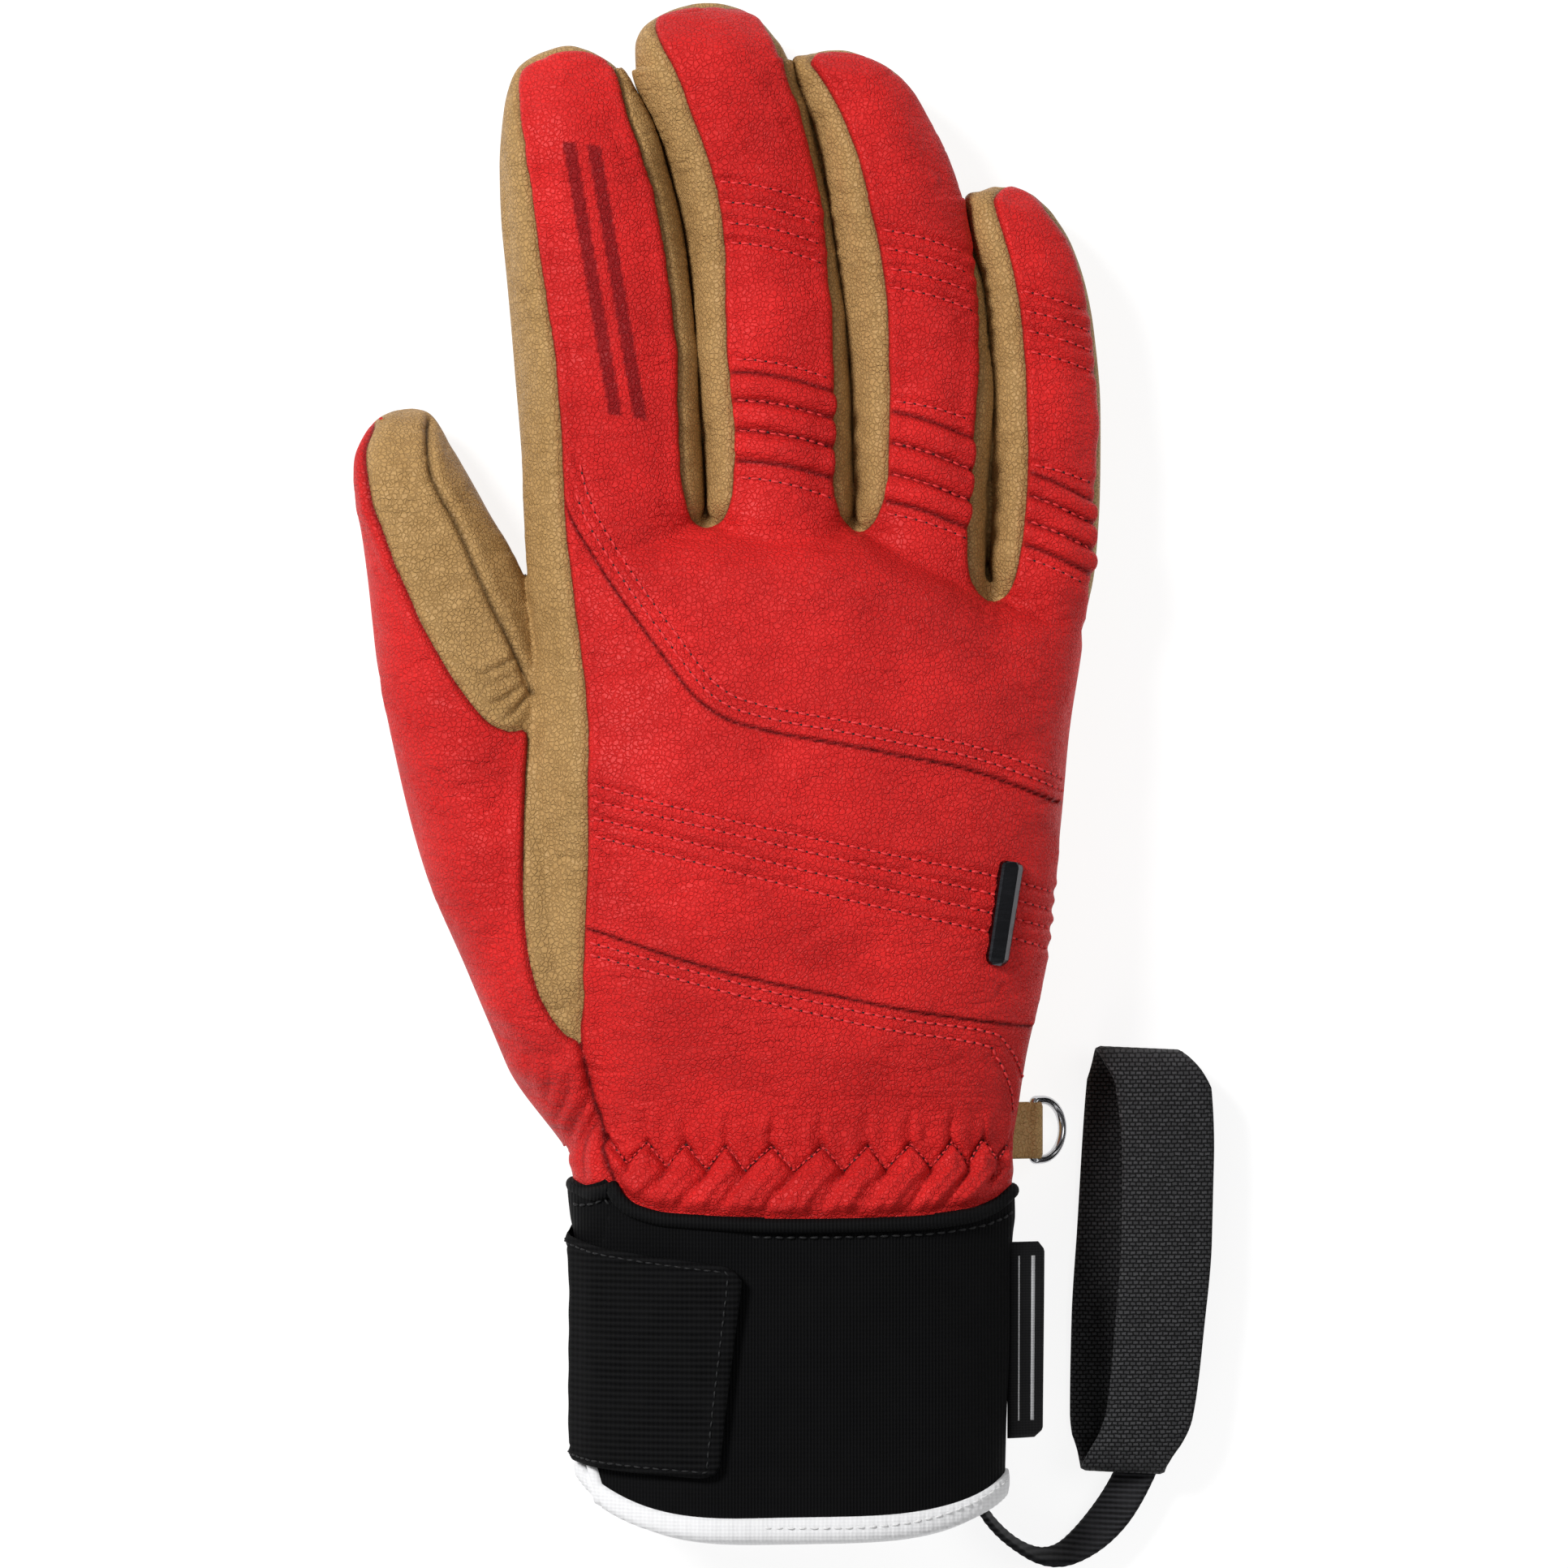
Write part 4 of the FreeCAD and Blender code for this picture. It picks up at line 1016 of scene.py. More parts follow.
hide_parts("hand_back_upper", "hand_back_middle", "hand_back_wrist", "index_base",
            "middle_base", "ring_base", "little_base", "thumb_base_back", "membrane", "insulation", "wrist_elastic")
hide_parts("side_strip", "palm", "thumb_base_palm")
for n in FINGERS:
    extra = [] if n == "index" else [n + "_knuckle_pleats"]
    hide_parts(n + "_back", *extra)
    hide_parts(n + "_front", n + "_side_radial", n + "_side_ulnar")
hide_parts("thumb_back")
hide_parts("thumb_front", "thumb_palm_side")
bpy.data.objects.remove(skin)


# ------------------------------------------------------------------- lining
def shrunk(loft, inset):
    """A loft drawn in all round by about inset mm."""
    ob = make_object("draft", *loft)
    out, at = normals(ob.data), coords(ob.data)
    bpy.data.objects.remove(ob)
    inward = -np.sign(np.sum(out * (at - at.mean(0))))
    return at + out * inset * inward, loft[1]


def fleece_lining():
    """One open fleece sock for the hand and for each finger."""
    lofts = [hand_loft()] + [finger_loft(f) for f in FINGERS.values()] + [thumb_loft()]
    for k, (n, loft) in enumerate(zip(NAMES, lofts)):
        verts, faces = shrunk(loft, 4.4)
        centre = np.array([verts[list(f)].mean(0) for f in faces])
        keep = centre[:, 1] > -86.0 if k == 0 else where_faces(centre) == k
        kept = [f[::-1] for f, ok in zip(faces, keep) if ok and len(f) == 4]
        kept += [f[::-1] for f in faces[-1:] + faces[-2:-1] if k and verts[list(f)][:, 1].mean() > 60]
        piece(n + "_fleece", verts, kept, FLEECE, "fleece", [n + "_lining"], BODIES[k])


fleece_lining()


def hidden_walls():
    """Tan leather behind the crotches, so that no gap opens when a finger or the thumb moves."""
    plans = [("index_middle_web", -3.9, 45.6), ("middle_ring_web", 24.3, 44.9), ("ring_little_web", 50.5, 31.4)]
    for name, x, y in plans:
        verts = []
        for j in range(10):
            for i in range(9):
                u, v = i / 4 - 1, j / 9
                z = 13.0 + 15.0 * (1 - v) ** 1.6 + 2.2 * u * u
                verts.append((x + 4.2 * u, y - 3.5 + 15.0 * v, z))
        piece(name, verts, grid_faces(9, 10), TAN, "tan_leather")
    for name, loft, body, x0 in (("thumb_gusset", thumb_loft(), "thumb", -50.0),
                                 ("hand_gusset", hand_loft(), "hand", -45.0),
                                 ("index_gusset", finger_loft(FINGERS["index"]), "hand", -45.0)):
        verts, faces = shrunk(loft, 0.8)
        kept = []
        for f in faces:
            c = verts[list(f)].mean(0)
            if len(f) == 4 and x0 < c[0] < -30.0 and 6.0 < c[1] < 46.0 and c[2] < 30.0:
                kept.append(f)
        piece(name, verts, kept, TAN, "tan_leather", body=body)


hidden_walls()


# ----------------------------------------------------------------- stitches
def drop(x, y):
    """Point and normal of the leather straight below a plan point."""
    hit = tree.ray_cast(Vector((x, y, 80.0)), Vector((0, 0, -1)))
    return (np.array(hit[0]), np.array(hit[1])) if hit[0] is not None else None


def on_surface(line):
    """Plan line laid on the red leather: points and normals, broken where it leaves it."""
    runs = [[]]
    for (x, y), margin in zip(line, red_distance(line)):
        hit = drop(x, y)
        if margin < 0.9 or hit is None or hit[1][2] < 0.12 or hit[0][2] < 9.0:
            runs.append([])
        else:
            runs[-1].append(hit)
    return [run for run in runs if len(run) > 3]


# along the stitch, share of its radius, height
STITCH_RINGS = [(-0.5, 0.35, -0.10), (-0.3, 0.85, 0.05), (0.0, 1.0, 0.14), (0.3, 0.85, 0.05),
                (0.5, 0.35, -0.10)]


def stitch_run(points, norms, verts, faces, mats, pitch=2.0, length=1.6, radius=0.27, lift=0.10, holes=True):
    """Adds a row of raised stitches, with a needle hole between each two, drawn as a flat dark disc of painted
    shade.
    """
    p, n = np.array(points), np.array(norms)
    s = run_lengths(p)
    for c in np.arange(pitch * 0.6, s[-1] - pitch * 0.4, pitch):
        ends = [along_line(c + off, s, p) for off in (-length / 2, 0, length / 2)]
        nn = unit(along_line(c, s, n))
        size = np.linalg.norm(ends[2] - ends[0])
        if size < 1e-6:
            continue
        along = (ends[2] - ends[0]) / size
        side = unit(np.cross(nn, along))
        base = len(verts)
        slant = 0.10 * (1 if (int(c / pitch) % 2) else -1)
        for t, r, up in STITCH_RINGS:
            mid_point = ends[1] + along * (t * size) + nn * (lift + up) + side * (slant * t)
            for th in np.arange(6) * math.pi / 3:
                around = side * math.cos(th) + nn * (0.8 * math.sin(th))
                verts.append(mid_point + around * (radius * r))
        faces += [tuple(base + i for i in q) for q in grid_faces(6, 5, wrap=True)]
        faces += [tuple(range(base + 5, base - 1, -1)), tuple(range(base + 24, base + 30))]
        mats += [0] * 26
        # the hole is a flat disc on the surface, coloured as painted shade
        if holes:
            at = ends[1] + along * (pitch / 2) + nn * 0.06
            base = len(verts)
            for th in np.arange(8) * math.pi / 4:
                verts.append(at + side * (math.cos(th) * 0.19) + along * (math.sin(th) * 0.27))
            verts.append(at + nn * 0.05)
            faces += [(base + a, base + (a + 1) % 8, base + 8) for a in range(8)]
            mats += [1] * 8


def red_stitches(name, lines, body="hand", **kw):
    """Red stitching along plan lines on the leather."""
    verts, faces, mats = [], [], []
    for line in lines:
        for run in on_surface(soft_line(line, 0.4)):
            stitch_run(*table(run, 0, 1), verts, faces, mats, **kw)
    piece(name, verts, faces, RED_THREAD, "red_leather", body=body, hole=HOLE_SHADE, face_material=mats)


def seam_row(d, x0=-28.6, x1=66.0):
    """Row of stitching d mm above the diagonal seam."""
    p = soft_line(UPPER_SEAM, 1.2)
    t = unit(np.gradient(p, axis=0))
    return [tuple(v) for v in p + np.stack([-t[:, 1], t[:, 0]], 1) * d if x0 <= v[0] <= x1]


red_stitches("diagonal_seam_stitching", [seam_row(2.2), seam_row(4.3)])
red_stitches("back_row_stitching", ROWS)
red_stitches("wrist_seam_stitching", LOWER_ROWS)
zig_x = np.arange(-21.5, 54.0, 0.70)
red_stitches("gather_stitching", [list(zip(zig_x, zigzag(zig_x)[0] - 0.2))], pitch=1.3, length=0.95, radius=0.2)


def finger_row(f, y, kind):
    """A slanting row across a finger's back."""
    u = np.linspace(-1, 1, 15) * float(finger_half(f, y))
    return list(zip(float(finger_centre(f, y)) + u, y + f[kind] * u - 0.010 * u * u))


for n, f in FINGERS.items():
    if f["pleats"]:
        rows = [finger_row(f, y, "row_slope") for y in f["rows"]]
        rows += [finger_row(f, y, "pleat_slope") for y in f["pleats"][1:3]]
        rows.append(finger_row(f, f["base_row"], "base_slope"))
        red_stitches(n + "_stitching", rows, n + "_finger", radius=0.24)


# --------------------------------------------------------------------- cuff
# y, left, right, bottom and top of the cuff
CUFF = [
    (-76.0, -30.4, 54.6, 1.7, 41.4), (-80.0, -30.4, 54.9, 1.6, 41.2), (-85.5, -30.0, 55.0, 1.2, 41.2),
    (-89.0, -29.3, 54.6, 1.1, 41.3), (-94.0, -28.7, 54.3, 1.0, 41.6), (-100.0, -28.4, 54.1, 0.9, 42.0),
    (-120.0, -28.4, 53.6, 0.8, 43.0), (-132.0, -28.2, 53.3, 0.8, 43.8), (-140.0, -28.0, 53.0, 0.8, 44.2),
    (-147.0, -27.5, 52.6, 0.9, 44.6),
]
# y and x of the edge of the top layer
SLIT = [(-150.0, -17.5), (-142.4, -21.4), (-136.5, -23.8), (-130.0, -25.4), (-122.0, -25.8), (-110.0, -24.8),
        (-90.0, -22.3), (-78.0, -20.4)]
LAYER, WALL = 1.25, 2.6


def cuff_sides(y):
    return (pchip(*table(CUFF, 0, k), y) for k in range(1, 5))


def cuff_point(phi, y, off):
    """Point on the cuff: phi turns from +X over the top, off is outwards."""
    x0, x1, z0, z1 = cuff_sides(y)
    c, s = np.cos(phi), np.sin(phi)
    power = 2.35 + 0.15 * smoothstep(y, -98.0, -86.0)
    return np.stack([(x0 + x1) / 2 + signed_power(c, 2 / power) * ((x1 - x0) / 2 + off),
                     np.broadcast_to(y, np.shape(c)).astype(float),
                     (z0 + z1) / 2 + signed_power(s, 2 / power) * ((z1 - z0) / 2 + off)], -1)


def full_turn(count):
    return 2 * np.pi * np.arange(count) / count


def over(x, y):
    """How far the top layer stands over the underlap."""
    edge = pchip(*table(SLIT, 0, 1), y)
    return smoothstep(x - edge, -0.25, 0.25) * (1 - smoothstep(x, -4.0, 12.0))


def hem_y(x, phi):
    """Where the cuff ends."""
    return -146.2 + 8.6 * np.clip(np.abs(x - 14.5) / 40.0, 0, 1.1) ** 3.4 - 0.6 * np.sin(phi * 3 + 0.6)


def cuff_shell():
    """The sleeve's outside and inside, and the last ring of its outside."""
    nu, nv = 300, 60
    phi = full_turn(nu)
    flat = cuff_point(phi, np.full(nu, -120.0), 0)
    top = leather_end(flat[:, 0]) + 0.6
    end = hem_y(flat[:, 0], phi)
    rings = []
    for v in np.linspace(0, 1, nv):
        y = top + (end - top) * v
        p = cuff_point(phi, y, 0)
        lift = LAYER * over(p[:, 0], y) * (p[:, 2] > 22)
        sag = (0.45 * np.sin(phi * 5 + y * 0.06) + 0.3 * np.sin(phi * 9 - y * 0.11)) * np.sin(np.pi * v)
        rings.append(cuff_point(phi, y, lift + sag - 0.9 * smoothstep(v, 0.945, 0.985)))
    inner = [cuff_point(phi, r[:, 1], -WALL) for r in rings[::-1]]
    return np.vstack(rings + inner), [f[::-1] for f in grid_faces(nu, 2 * nv, wrap=True)], rings[-1]


verts, faces, cuff_end = cuff_shell()
piece("cuff_sleeve_knit", verts, faces, NEOPRENE, "neoprene", ["cuff_sleeve", "cuff_underlap"])


def tube_along(points, radius, count, closed=True, up=(0, 0, 1.0)):
    """Round roll along 3-D points."""
    p = np.array(points, float)
    n = len(p)
    tan = unit(np.roll(p, -1, 0) - np.roll(p, 1, 0) if closed else np.gradient(p, axis=0))
    side = np.cross(tan, np.broadcast_to(np.array(up), p.shape))
    side[np.linalg.norm(side, axis=1) < 1e-3] = (1, 0, 0)
    side = unit(side)
    nrm = np.cross(side, tan)
    r = np.broadcast_to(np.asarray(radius, float), (n,))
    verts = []
    for i in range(n):
        for th in full_turn(count):
            verts.append(p[i] + side[i] * math.cos(th) * r[i] + nrm[i] * math.sin(th) * r[i])
    faces = []
    for i in range(n if closed else n - 1):
        j = (i + 1) % n
        for a in range(count):
            b = (a + 1) % count
            faces.append((i * count + a, i * count + b, j * count + b, j * count + a))
    if not closed:
        faces += [tuple(range(count))[::-1], tuple(range((n - 1) * count, n * count))]
    return verts, faces


def band_over_edge(ring_out, width, grow, rows=10):
    """Tape folded over the end of the cuff: outside, round the edge, inside."""
    nu = len(ring_out)
    phi = full_turn(nu)
    verts = []
    for j in range(rows):
        t = (j - 1) / (rows - 2)
        if j == 0:
            dy, off = width + 0.05, -0.5
        elif t < 0.4:
            dy, off = width * (1 - t / 0.4), grow
        elif t < 0.6:
            a = (t - 0.4) / 0.2 * math.pi
            dy, off = -0.7 * math.sin(a), grow - (1 - math.cos(a)) * 0.5 * (grow * 2 + WALL)
        else:
            dy, off = width * (t - 0.6) / 0.4, -WALL - grow
        puff = 0.25 * math.sin(min(1, t / 0.4) * math.pi) if 0 < t < 0.4 else 0.0
        y = ring_out[:, 1] + dy
        lift = LAYER * over(ring_out[:, 0], y) * (ring_out[:, 2] > 22) * (t < 0.5)
        pucker = 0.10 * np.sin(phi * 95) * (t < 0.4)
        verts.append(cuff_point(phi, y, off + lift + puff + pucker))
    return np.vstack(verts), grid_faces(nu, rows, wrap=True)


piece("hem_tape", *band_over_edge(cuff_end, 4.4, 0.55), WHITE_TAPE, "white_binding", ["hem_binding"])


def slit_binding():
    """White roll along the edge of the cuff's top layer."""
    line = []
    ys = np.linspace(-139.6, -112.0, 60)
    for x, y in zip(pchip(*table(SLIT, 0, 1), ys), ys):
        x0, x1, z0, z1 = (float(side) for side in cuff_sides(y))
        u = min(0.999, abs((x - (x0 + x1) / 2) / ((x1 - x0) / 2 + 1.2)))
        z = (z0 + z1) / 2 + ((z1 - z0) / 2 + 1.2) * (1 - u ** 2.35) ** (1 / 2.35)
        line.append((x - 0.1, y, z - 0.5))
    radius = 1.25 * np.minimum(1.0, 0.3 + np.arange(60) / 5.0)
    piece("slit_binding", *tube_along(line, radius, 12, closed=False), WHITE_TAPE, "white_binding")


def cuff_top_roll():
    """Black roll where the leather meets the cuff."""
    phi = full_turn(260)
    flat = cuff_point(phi, np.full(260, -84.0), 0)
    tuck = 1.5 * smoothstep(flat[:, 0], 42.0, 53.0) + 1.5 * smoothstep(-flat[:, 0], 23.0, 28.5)
    on_top = (flat[:, 2] > 20) & (flat[:, 0] > -20.6)
    ring = cuff_point(phi, leather_end(flat[:, 0]) - 1.0, 0.35 - tuck + 0.7 * on_top)
    ring[:, 2] = np.maximum(ring[:, 2], 1.45)
    roll = tube_along(ring, 1.4 + 0.06 * np.sin(phi * 130), 14)
    piece("cuff_top_roll", *roll, BLACK_ROLL, "black_binding", ["cuff_top_binding"])


def cuff_stitches(name, y_of, first, last, off, material, slot, **kw):
    """Row of stitching on the cuff between two angles in degrees."""
    phi = np.linspace(math.radians(first), math.radians(last), 400)
    base = cuff_point(phi, y_of(cuff_point(phi, np.full(len(phi), -120.0), 0)[:, 0]), off)
    far = cuff_point(phi, base[:, 1], off + 1.0)
    verts, faces, mats = [], [], []
    stitch_run(base, far - base, verts, faces, mats, pitch=2.2, holes=False, **kw)
    piece(name, verts, faces, material, slot, hole=material, face_material=mats)


slit_binding()
cuff_top_roll()
cuff_stitches("cuff_top_stitching", lambda x: leather_end(x) - 3.2, 12, 168, 0.25, BLACK_THREAD,
              "black_binding")
cuff_stitches("hem_stitching", lambda x: hem_y(x, 0.4) + 3.6, 8, 116, 0.75, WHITE_THREAD, "white_binding",
              radius=0.2)


# ---------------------------------------------------------------------- tab
def tab_edges(s):
    """Ends in y of the tab at 0..1 from where it is sewn to its free end."""
    return -87.6 - 6.6 * s ** 1.1, -130.6 - 3.4 * s


TAB_SIDE, TAB_END = math.radians(187.0), math.radians(104.5)


def tab_phi(s, y):
    """The free end slants: its upper corner reaches further across."""
    return TAB_SIDE + (TAB_END - TAB_SIDE) * s - 0.085 * s * min(1.0, max(0.0, (y + 131.0) / 34.0))


def tab_rise(s):
    """The sewn end lies close to the cuff."""
    return 0.15 + 0.85 * float(smoothstep(s, 0.04, 0.30))


def tab_step(phi, y):
    """The tab steps up onto the cuff's top layer."""
    x = float(cuff_point(np.array([phi]), np.array([y]), 0.0)[0, 0])
    return LAYER * float(smoothstep(x, -27.0, -21.0))


def tab_plate(off_out, off_in, margin=0.0, s0=0.0, s1=1.0):
    """Curved plate over the cuff; the whole tab also has rounded corners and turned edges."""
    nu, nv, across, corner = 64, 72, 36.0, 2.5
    outer, inner = [], []
    for v in np.arange(nv) / (nv - 1):
        for u in np.arange(nu) / (nu - 1):
            s = s0 + (s1 - s0) * u
            y_hi, y_lo = tab_edges(s)
            length = y_hi - y_lo - 2 * margin
            rim = min(u * across + 0.001, (1 - u) * across, v * length, (1 - v) * length)
            cut = edge = 0.0
            if s1 >= 1.0:
                from_arc = max(0.0, corner - (1 - u) * across)
                cut = corner - math.sqrt(corner**2 - from_arc**2)
                edge = -0.5 * math.exp(-rim / 0.5) - 0.22 * ridge(rim - 2.4, 0.5)
            y = y_hi - margin - cut - (length - 2 * cut) * v
            ripple = 0.10 * math.sin(y * 0.9 + s * 3) * (rim > 3) + 0.25 * math.sin(s * 5.0 + y * 0.05)
            phi, rise = tab_phi(s, y), tab_rise(s)
            step = tab_step(phi, y)
            outer.append((phi, y, rise * (off_out + ripple * 0.6) + step + edge))
            inner.append((phi, y, rise * off_in + step))
    return cuff_point(*np.array(outer + inner).T), plate_faces(nu, nv)


def tab_stitching():
    """Row of stitches along the tab's three free edges."""
    path = [(s, 0) for s in np.linspace(0.08, 0.965, 60)]
    path += [(0.965, t) for t in np.linspace(0, 1, 60)]
    path += [(s, 1) for s in np.linspace(0.965, 0.08, 60)]
    at = []
    for s, t in path:
        y_hi, y_lo = tab_edges(s)
        y = y_hi - 1.25 + (y_lo - y_hi + 2.5) * t
        phi = tab_phi(s, y)
        at.append((phi, y, tab_rise(s) * 2.7 + tab_step(phi, y) + 0.15 * math.sin(s * 5.0 + y * 0.05)))
    phi, y, off = np.array(at).T
    base = cuff_point(phi, y, off)
    far = cuff_point(phi, y, off + 1.0)
    verts, faces, mats = [], [], []
    stitch_run(base, far - base, verts, faces, mats, pitch=1.9, length=1.5, radius=0.2, holes=False, lift=0.02)
    piece("tab_stitching", verts, faces, BLACK_THREAD, "tab_fabric", body="closure_tab", hole=HOLE_SHADE,
          face_material=mats)


piece("closure_tab_cloth", *tab_plate(2.75, 1.6), TAB_CLOTH, "tab_fabric", ["closure_tab"], "closure_tab")
piece("tab_hook_field", *tab_plate(1.55, 1.3, 4.0, 0.42, 0.93), HOOKS, "hook_tape", ["tab_hook_patch"],
      "closure_tab")
piece("cuff_loop_field", *tab_plate(1.35, 0.2, 3.0, 0.36, 0.97), LOOP_PILE, "loop_pile", ["cuff_loop_patch"])
tab_stitching()


# -------------------------------------------------------------------- label
def slab(shape, nu, nv, thick):
    """Plate about a surface that gives a point and a normal, thinner at its rim."""
    top, bottom = [], []
    for j in range(nv):
        for i in range(nu):
            p, n = shape(i / (nu - 1), j / (nv - 1))
            rim = min(i, nu - 1 - i, j, nv - 1 - j)
            t = thick / 2 * (0.45 if rim == 0 else 1.0)
            top.append(p + n * t)
            bottom.append(p - n * t)
    return np.vstack([top, bottom]), [f[::-1] for f in plate_faces(nu, nv)]


def label_shape(u, v):
    """Cloth standing out from the cuff's side."""
    y = -90.6 - 37.4 * v
    out = 60.6 - 0.3 * v - (1.6 * max(0, (v - 0.96) / 0.04)) - (1.2 * max(0, (0.04 - v) / 0.04))
    x = 53.6 + (out - 53.6) * u
    z = 24.5 - 2.6 * u**1.4 + 0.7 * math.sin(v * 4.4 + 0.5) * u
    return np.array([x, y, z]), np.array([0.35, 0.0, 0.94])


def label_stripe(name, u0, u1):
    """Plain light stripe woven into the label."""
    def shape(u, v):
        p, n = label_shape(u0 + (u1 - u0) * u, 0.07 + 0.84 * v)
        return p + n * 0.56, n
    piece(name, *slab(shape, 3, 50, 0.12), LABEL_STRIPE, "woven_label")


piece("side_label_cloth", *slab(label_shape, 14, 60, 1.1), LABEL, "woven_label", ["side_label"])
label_stripe("label_stripe_inner", 0.26, 0.30)
label_stripe("label_stripe_outer", 0.62, 0.72)


# -------------------------------------------------------------------- badge
def badge():
    """Plain bevelled bar, raised towards its left edge."""
    upper, n_a = drop(53.7, -19.0)
    lower, n_b = drop(51.0, -36.6)
    middle, n_c = drop(52.4, -27.8)
    along = unit(lower - upper)
    n = n_a + n_b + n_c
    n = unit(n - along * (n @ along))
    c = (upper + lower) / 2
    c = c + n * max(0.0, 0.7 * float((middle - c) @ n))
    side = np.cross(n, along)
    # across and up; then along, share of the width, share of the height
    profile = [(-2.4, -0.9), (-2.4, 0.9), (-2.1, 1.2), (-0.6, 2.3), (-0.3, 2.35), (1.9, 1.35), (2.3, 1.0),
               (2.35, -0.9)]
    stations = [(-9.9, 0.6, 0.75), (-9.5, 0.88, 0.9), (-8.9, 1.0, 1.0), (8.6, 0.94, 1.0), (9.3, 0.8, 0.9),
                (9.9, 0.55, 0.7)]
    verts = []
    for t, wide, tall in stations:
        for w, up in profile:
            verts.append(c + along * t - side * (w * wide) + n * (up * tall if up > 0 else up - 0.012 * t * t))
    cols = len(profile)
    faces = grid_faces(cols, len(stations))
    faces += [tuple(range(cols))[::-1], tuple(range(cols * (len(stations) - 1), cols * len(stations)))]
    for j in range(0, cols * (len(stations) - 1), cols):
        faces.append((j, j + cols, j + 2 * cols - 1, j + cols - 1))
    piece("badge_plate", verts, faces, GUNMETAL, "gunmetal", ["badge_bar"], smooth=False)


badge()


# --------------------------------------------------------- ring and its loop
BAR = (58.9, -70.0, 9.0)
WIRE = 0.85
TILT = math.asin((BAR[2] - 0.95) / 10.0)


def ring_line():
    """Middle line of the wire: straight bar, rounded corners, bow."""
    r, corner = 6.6 - WIRE, 0.9
    bend = [(corner - corner * math.cos(a), r - corner + corner * math.sin(a))
            for a in np.linspace(0.25, math.pi / 2, 5)] + [(1.6, r), (2.4, r)]
    pts = [(0.0, y) for y in np.linspace(-r + corner, r - corner, 12)] + bend
    pts += [(2.8 + 7.2 * math.sin(a), r * math.cos(a)) for a in np.linspace(0.04, math.pi - 0.04, 34)]
    pts += [(u, -y) for u, y in bend[::-1]]
    return [(BAR[0] + u * math.cos(TILT), BAR[1] + y, BAR[2] - u * math.sin(TILT)) for u, y in pts]


wire = tube_along(ring_line(), WIRE, 16, up=(math.sin(TILT), 0, math.cos(TILT)))
piece("d_ring_wire", *wire, CHROME, "chrome", ["d_ring"], body="d_ring")


def loop_shape(u, v):
    """Strap from the glove's side, round the ring's bar, and back."""
    r, sewn_x = 1.45, 50.5
    if u < 0.35:
        t = u / 0.35
        x, z = sewn_x + (BAR[0] - sewn_x) * t, BAR[2] + 4.0 * (1 - t) ** 1.5 + r
        n = (0.0, 0.0, 1.0)
    elif u < 0.65:
        a = math.pi / 2 - (u - 0.35) / 0.3 * math.pi
        n = (math.cos(a), 0.0, math.sin(a))
        x, z = BAR[0] + r * n[0], BAR[2] + r * n[2]
    else:
        t = (u - 0.65) / 0.35
        x, z = BAR[0] + (sewn_x - BAR[0]) * t, BAR[2] - r + 2.0 * t
        n = (0.0, 0.0, -1.0)
    return np.array([x, BAR[1] + (v - 0.5) * 10.8, z]), np.array(n)


piece("ring_strap", *slab(loop_shape, 48, 14, 0.9), TAN, "tan_leather", ["ring_loop"])


# -------------------------------------------------------------------- leash
def elastic_line(y_far=-54.6, y_near=-135.2, r=5.9, low=0.9):
    """Side view of the folded elastic, anticlockwise: y, z and how much it belongs to the upper run."""
    run = np.linspace(0, 1, 70)
    turn = np.linspace(-math.pi / 2, math.pi / 2, 24)[1:-1]
    straight = y_far - y_near - 2 * r
    pts = [(y_near + r + straight * t, low + 0.2 * math.sin(t * math.pi), 0.0) for t in run]
    pts += [(y_far - r + r * math.cos(a), low + r + r * math.sin(a), a / math.pi + 0.5) for a in turn]
    pts += [(y_far - r - straight * t, low + 2 * r + 0.5 * math.sin(t * math.pi), 1.0) for t in run]
    pts += [(y_near + r - r * math.cos(a), low + r - r * math.sin(a), 0.5 - a / math.pi) for a in turn]
    return np.array(pts)


def elastic_loop():
    """Wide elastic folded to a loop, its upper run leaning over to the right."""
    p = elastic_line()
    tan = unit(np.roll(p[:, :2], -1, 0) - np.roll(p[:, :2], 1, 0))
    nrm = np.stack([tan[:, 1], -tan[:, 0]], 1)
    top_left = pchip([-137.0, -130.5, -124.0, -107.0, -90.0, -75.0, -61.5, -53.0],
                     [67.6, 70.6, 72.9, 74.6, 75.8, 75.9, 74.6, 71.4], p[:, 0])
    low_left = pchip([-137.0, -133.0, -125.0, -107.0, -89.0, -65.0, -53.0],
                     [68.4, 67.4, 66.3, 66.6, 67.7, 69.2, 70.4], p[:, 0])
    top_width = pchip([-137.0, -133.5, -126.0, -115.0, -96.0, -75.0, -62.0, -58.2, -56.4, -55.2, -54.4],
                      [15.0, 15.4, 16.5, 16.9, 17.3, 17.7, 18.6, 18.9, 18.5, 17.4, 15.8], p[:, 0])
    mix = p[:, 2]
    left = low_left * (1 - mix) + top_left * mix
    width = 17.2 * (1 - mix) + top_width * mix
    cols, half_thick = 20, 0.62
    verts = []
    for side in (half_thick, -half_thick):
        for i, (y, z, top) in enumerate(p):
            for c in range(cols):
                u = c / (cols - 1)
                lip = 0.35 if c in (0, cols - 1) else 1.0
                bend = -0.9 * top * (2 * u - 1) ** 2 - 1.8 * top * u
                lean = -1.6 * (u - 0.2) * top
                off = side * lip + 0.05 * math.sin(u * 60 + y * 3.0) * (side > 0)
                verts.append((left[i] + width[i] * u, y + nrm[i, 0] * off + lean,
                              max(0.2, z + nrm[i, 1] * off + bend * 0.7)))
    faces = ribbon_faces(len(p), cols, closed=True)
    return piece("leash_elastic_loop", verts, faces, ELASTIC, "leash_elastic", ["leash_loop"])


elastic = elastic_loop()

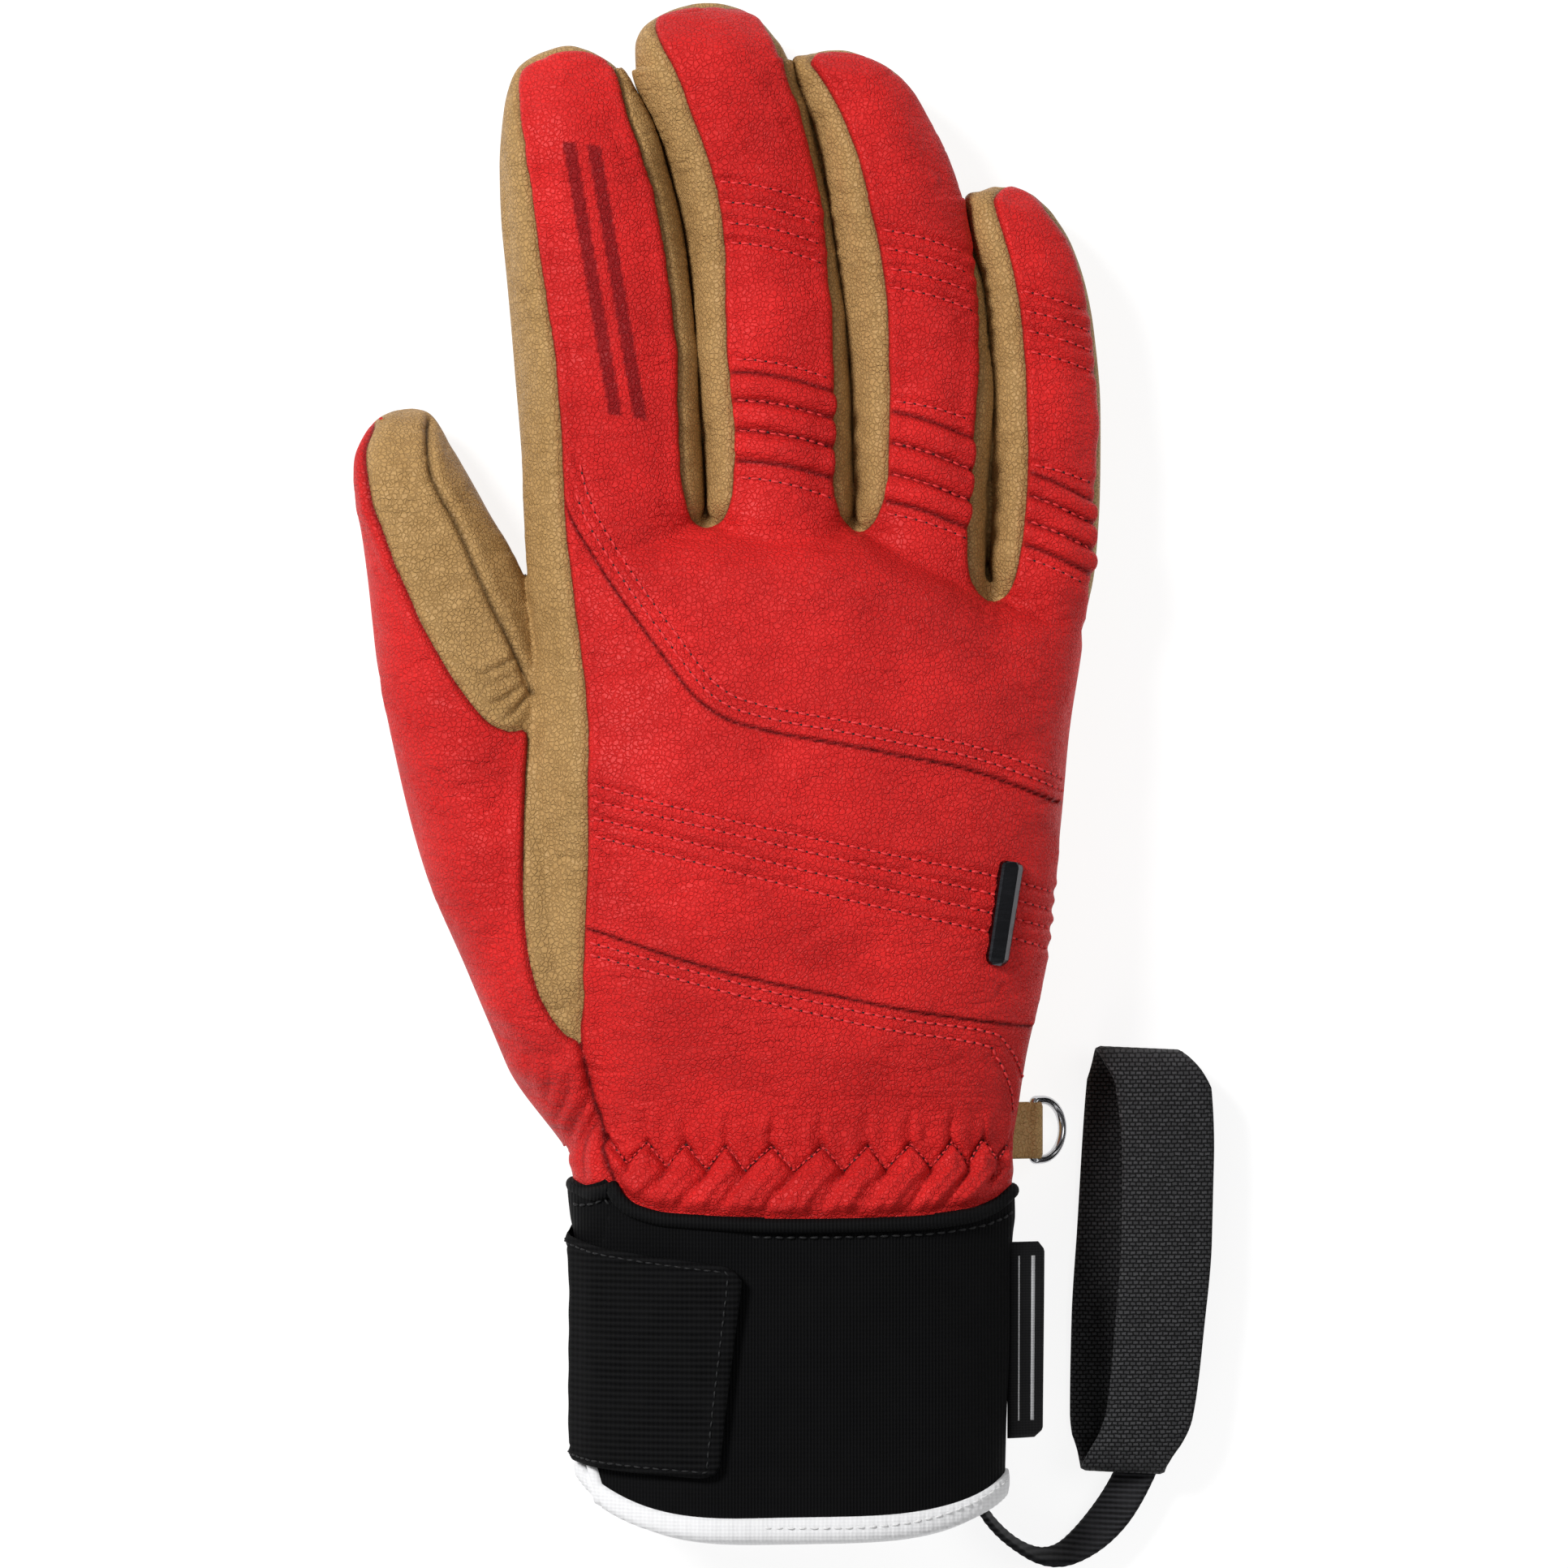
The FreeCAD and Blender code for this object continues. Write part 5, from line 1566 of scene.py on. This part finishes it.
# the tape's middle line in mm, the same as in the CAD
TAPE_ROUTE = [(44.0, -129.5, 4.4), (47.5, -141.5, 4.4), (54.0, -149.5, 4.4), (62.5, -153.6, 4.4),
              (70.5, -148.8, 4.4), (77.5, -139.8, 4.4), (81.0, -131.0, 4.4)]


def nurbs_points(name, route):
    """Points of the NURBS line through a route's control points."""
    cu = bpy.data.curves.new(name, "CURVE")
    cu.dimensions = "3D"
    cu.resolution_u = 24
    sp = cu.splines.new("NURBS")
    sp.points.add(len(route) - 1)
    for pt, c in zip(sp.points, route):
        pt.co = (c[0] * MM, c[1] * MM, c[2] * MM, 1.0)
    sp.order_u = 3
    sp.use_endpoint_u = True
    ob = linked(name, cu)
    me = bpy.data.meshes.new_from_object(ob)
    pts = coords(me)
    bpy.data.objects.remove(ob)
    bpy.data.curves.remove(cu)
    bpy.data.meshes.remove(me)
    return pts


def leash_tape():
    """Flat ribbed tape, on edge at the cuff and leaning over towards the loop."""
    pts = nurbs_points("tape_line", TAPE_ROUTE)
    s = run_lengths(pts)
    q = np.linspace(0, s[-1], 130)
    p = along_line(q, s, pts)
    tan = unit(np.gradient(p, axis=0))
    up = np.array([0, 0, 1.0])
    cols, half, thick = 12, 4.1, 0.55
    verts = []
    for side in (1, -1):
        for i in range(len(p)):
            lean = math.radians(7 + 53 * float(smoothstep(q[i] / s[-1], 0.38, 0.80)))
            wide = unit(np.cross(tan[i], up)) * math.sin(lean) + up * math.cos(lean)
            nrm = np.cross(wide, tan[i])
            rib = 0.12 * math.sin(q[i] * 2 * math.pi / 1.5)
            for c in range(cols):
                u = c / (cols - 1) * 2 - 1
                t = thick * (0.5 if c in (0, cols - 1) else 1.0)
                pt = p[i] + wide * (u * half) + nrm * side * (t + rib * 0.5)
                pt[2] = max(pt[2], 0.15)
                verts.append(pt)
    faces = ribbon_faces(len(p), cols, closed=False)
    ob = piece("leash_ribbed_tape", verts, faces, GROSGRAIN, "grosgrain", ["leash_tape"])


leash_tape()


# -------------------------------------------------------------- palm facing
def palm_pad():
    """Palm reinforcement: a rounded square with a bulging outer face."""
    nu, nv = 40, 44
    verts = []
    for outside in (True, False):
        for v in np.arange(nv) / (nv - 1) * 2 - 1:
            for u in np.arange(nu) / (nu - 1) * 2 - 1:
                far = max(abs(u), abs(v))
                k = far / max(1e-6, (abs(u) ** 6 + abs(v) ** 6) ** (1 / 6))
                z = 0.05 + 0.9 * math.exp(-(1 - far) * 12) if outside else 3.2
                verts.append((13.0 + u * 33.0 * k, -7.0 + v * 37.0 * k, z))
    piece("palm_pad", verts, plate_faces(nu, nv), TAN, "palm_leather", ["palm_patch"])


palm_pad()


# ------------------------------------------------------ floor, light, camera
def floor(s=3.0, z=-0.0004):
    me = bpy.data.meshes.new("floor")
    me.from_pydata([(-s, -s, z), (s, -s, z), (s, s, z), (-s, s, z)], [], [(0, 1, 2, 3)])
    m, nt, b = new_material("floor_white")
    put(nt, b, {"Base Color": (0.26, 0.26, 0.26), "Roughness": 1.0, "Specular IOR Level": 0.0,
                "Emission Color": (1, 1, 1), "Emission Strength": 0.86})
    me.materials.append(m)
    linked("floor", me)


def area_light(name, place, size, watts):
    """Round light that looks at the origin."""
    li = bpy.data.lights.new(name, "AREA")
    li.shape = "DISK"
    li.size = size
    li.energy = watts
    ob = linked(name, li)
    ob.location = place
    ob.rotation_euler = (-Vector(place)).to_track_quat("-Z", "Y").to_euler()


def world():
    w = bpy.data.worlds.new("studio")
    w.use_nodes = True
    put(w.node_tree, w.node_tree.nodes["Background"], {0: (1, 1, 1), 1: 0.17})
    bpy.context.scene.world = w


def camera():
    """Long lens straight above the glove."""
    cam = bpy.data.cameras.new("camera")
    cam.sensor_width = 36.0
    cam.lens = 180.0
    ob = linked("camera", cam)
    ob.location = (0.0110, -0.0034, 1.5175)
    bpy.context.scene.camera = ob


floor()
area_light("key", (-0.68, 0.54, 0.98), 0.40, 16.5)
area_light("fill", (0.75, 0.15, 1.0), 0.8, 3.0)
area_light("low", (-0.3, -1.0, 0.7), 0.7, 2.2)
world()
camera()
bpy.context.scene.view_settings.view_transform = "Standard"
bpy.context.scene.view_settings.look = "None"
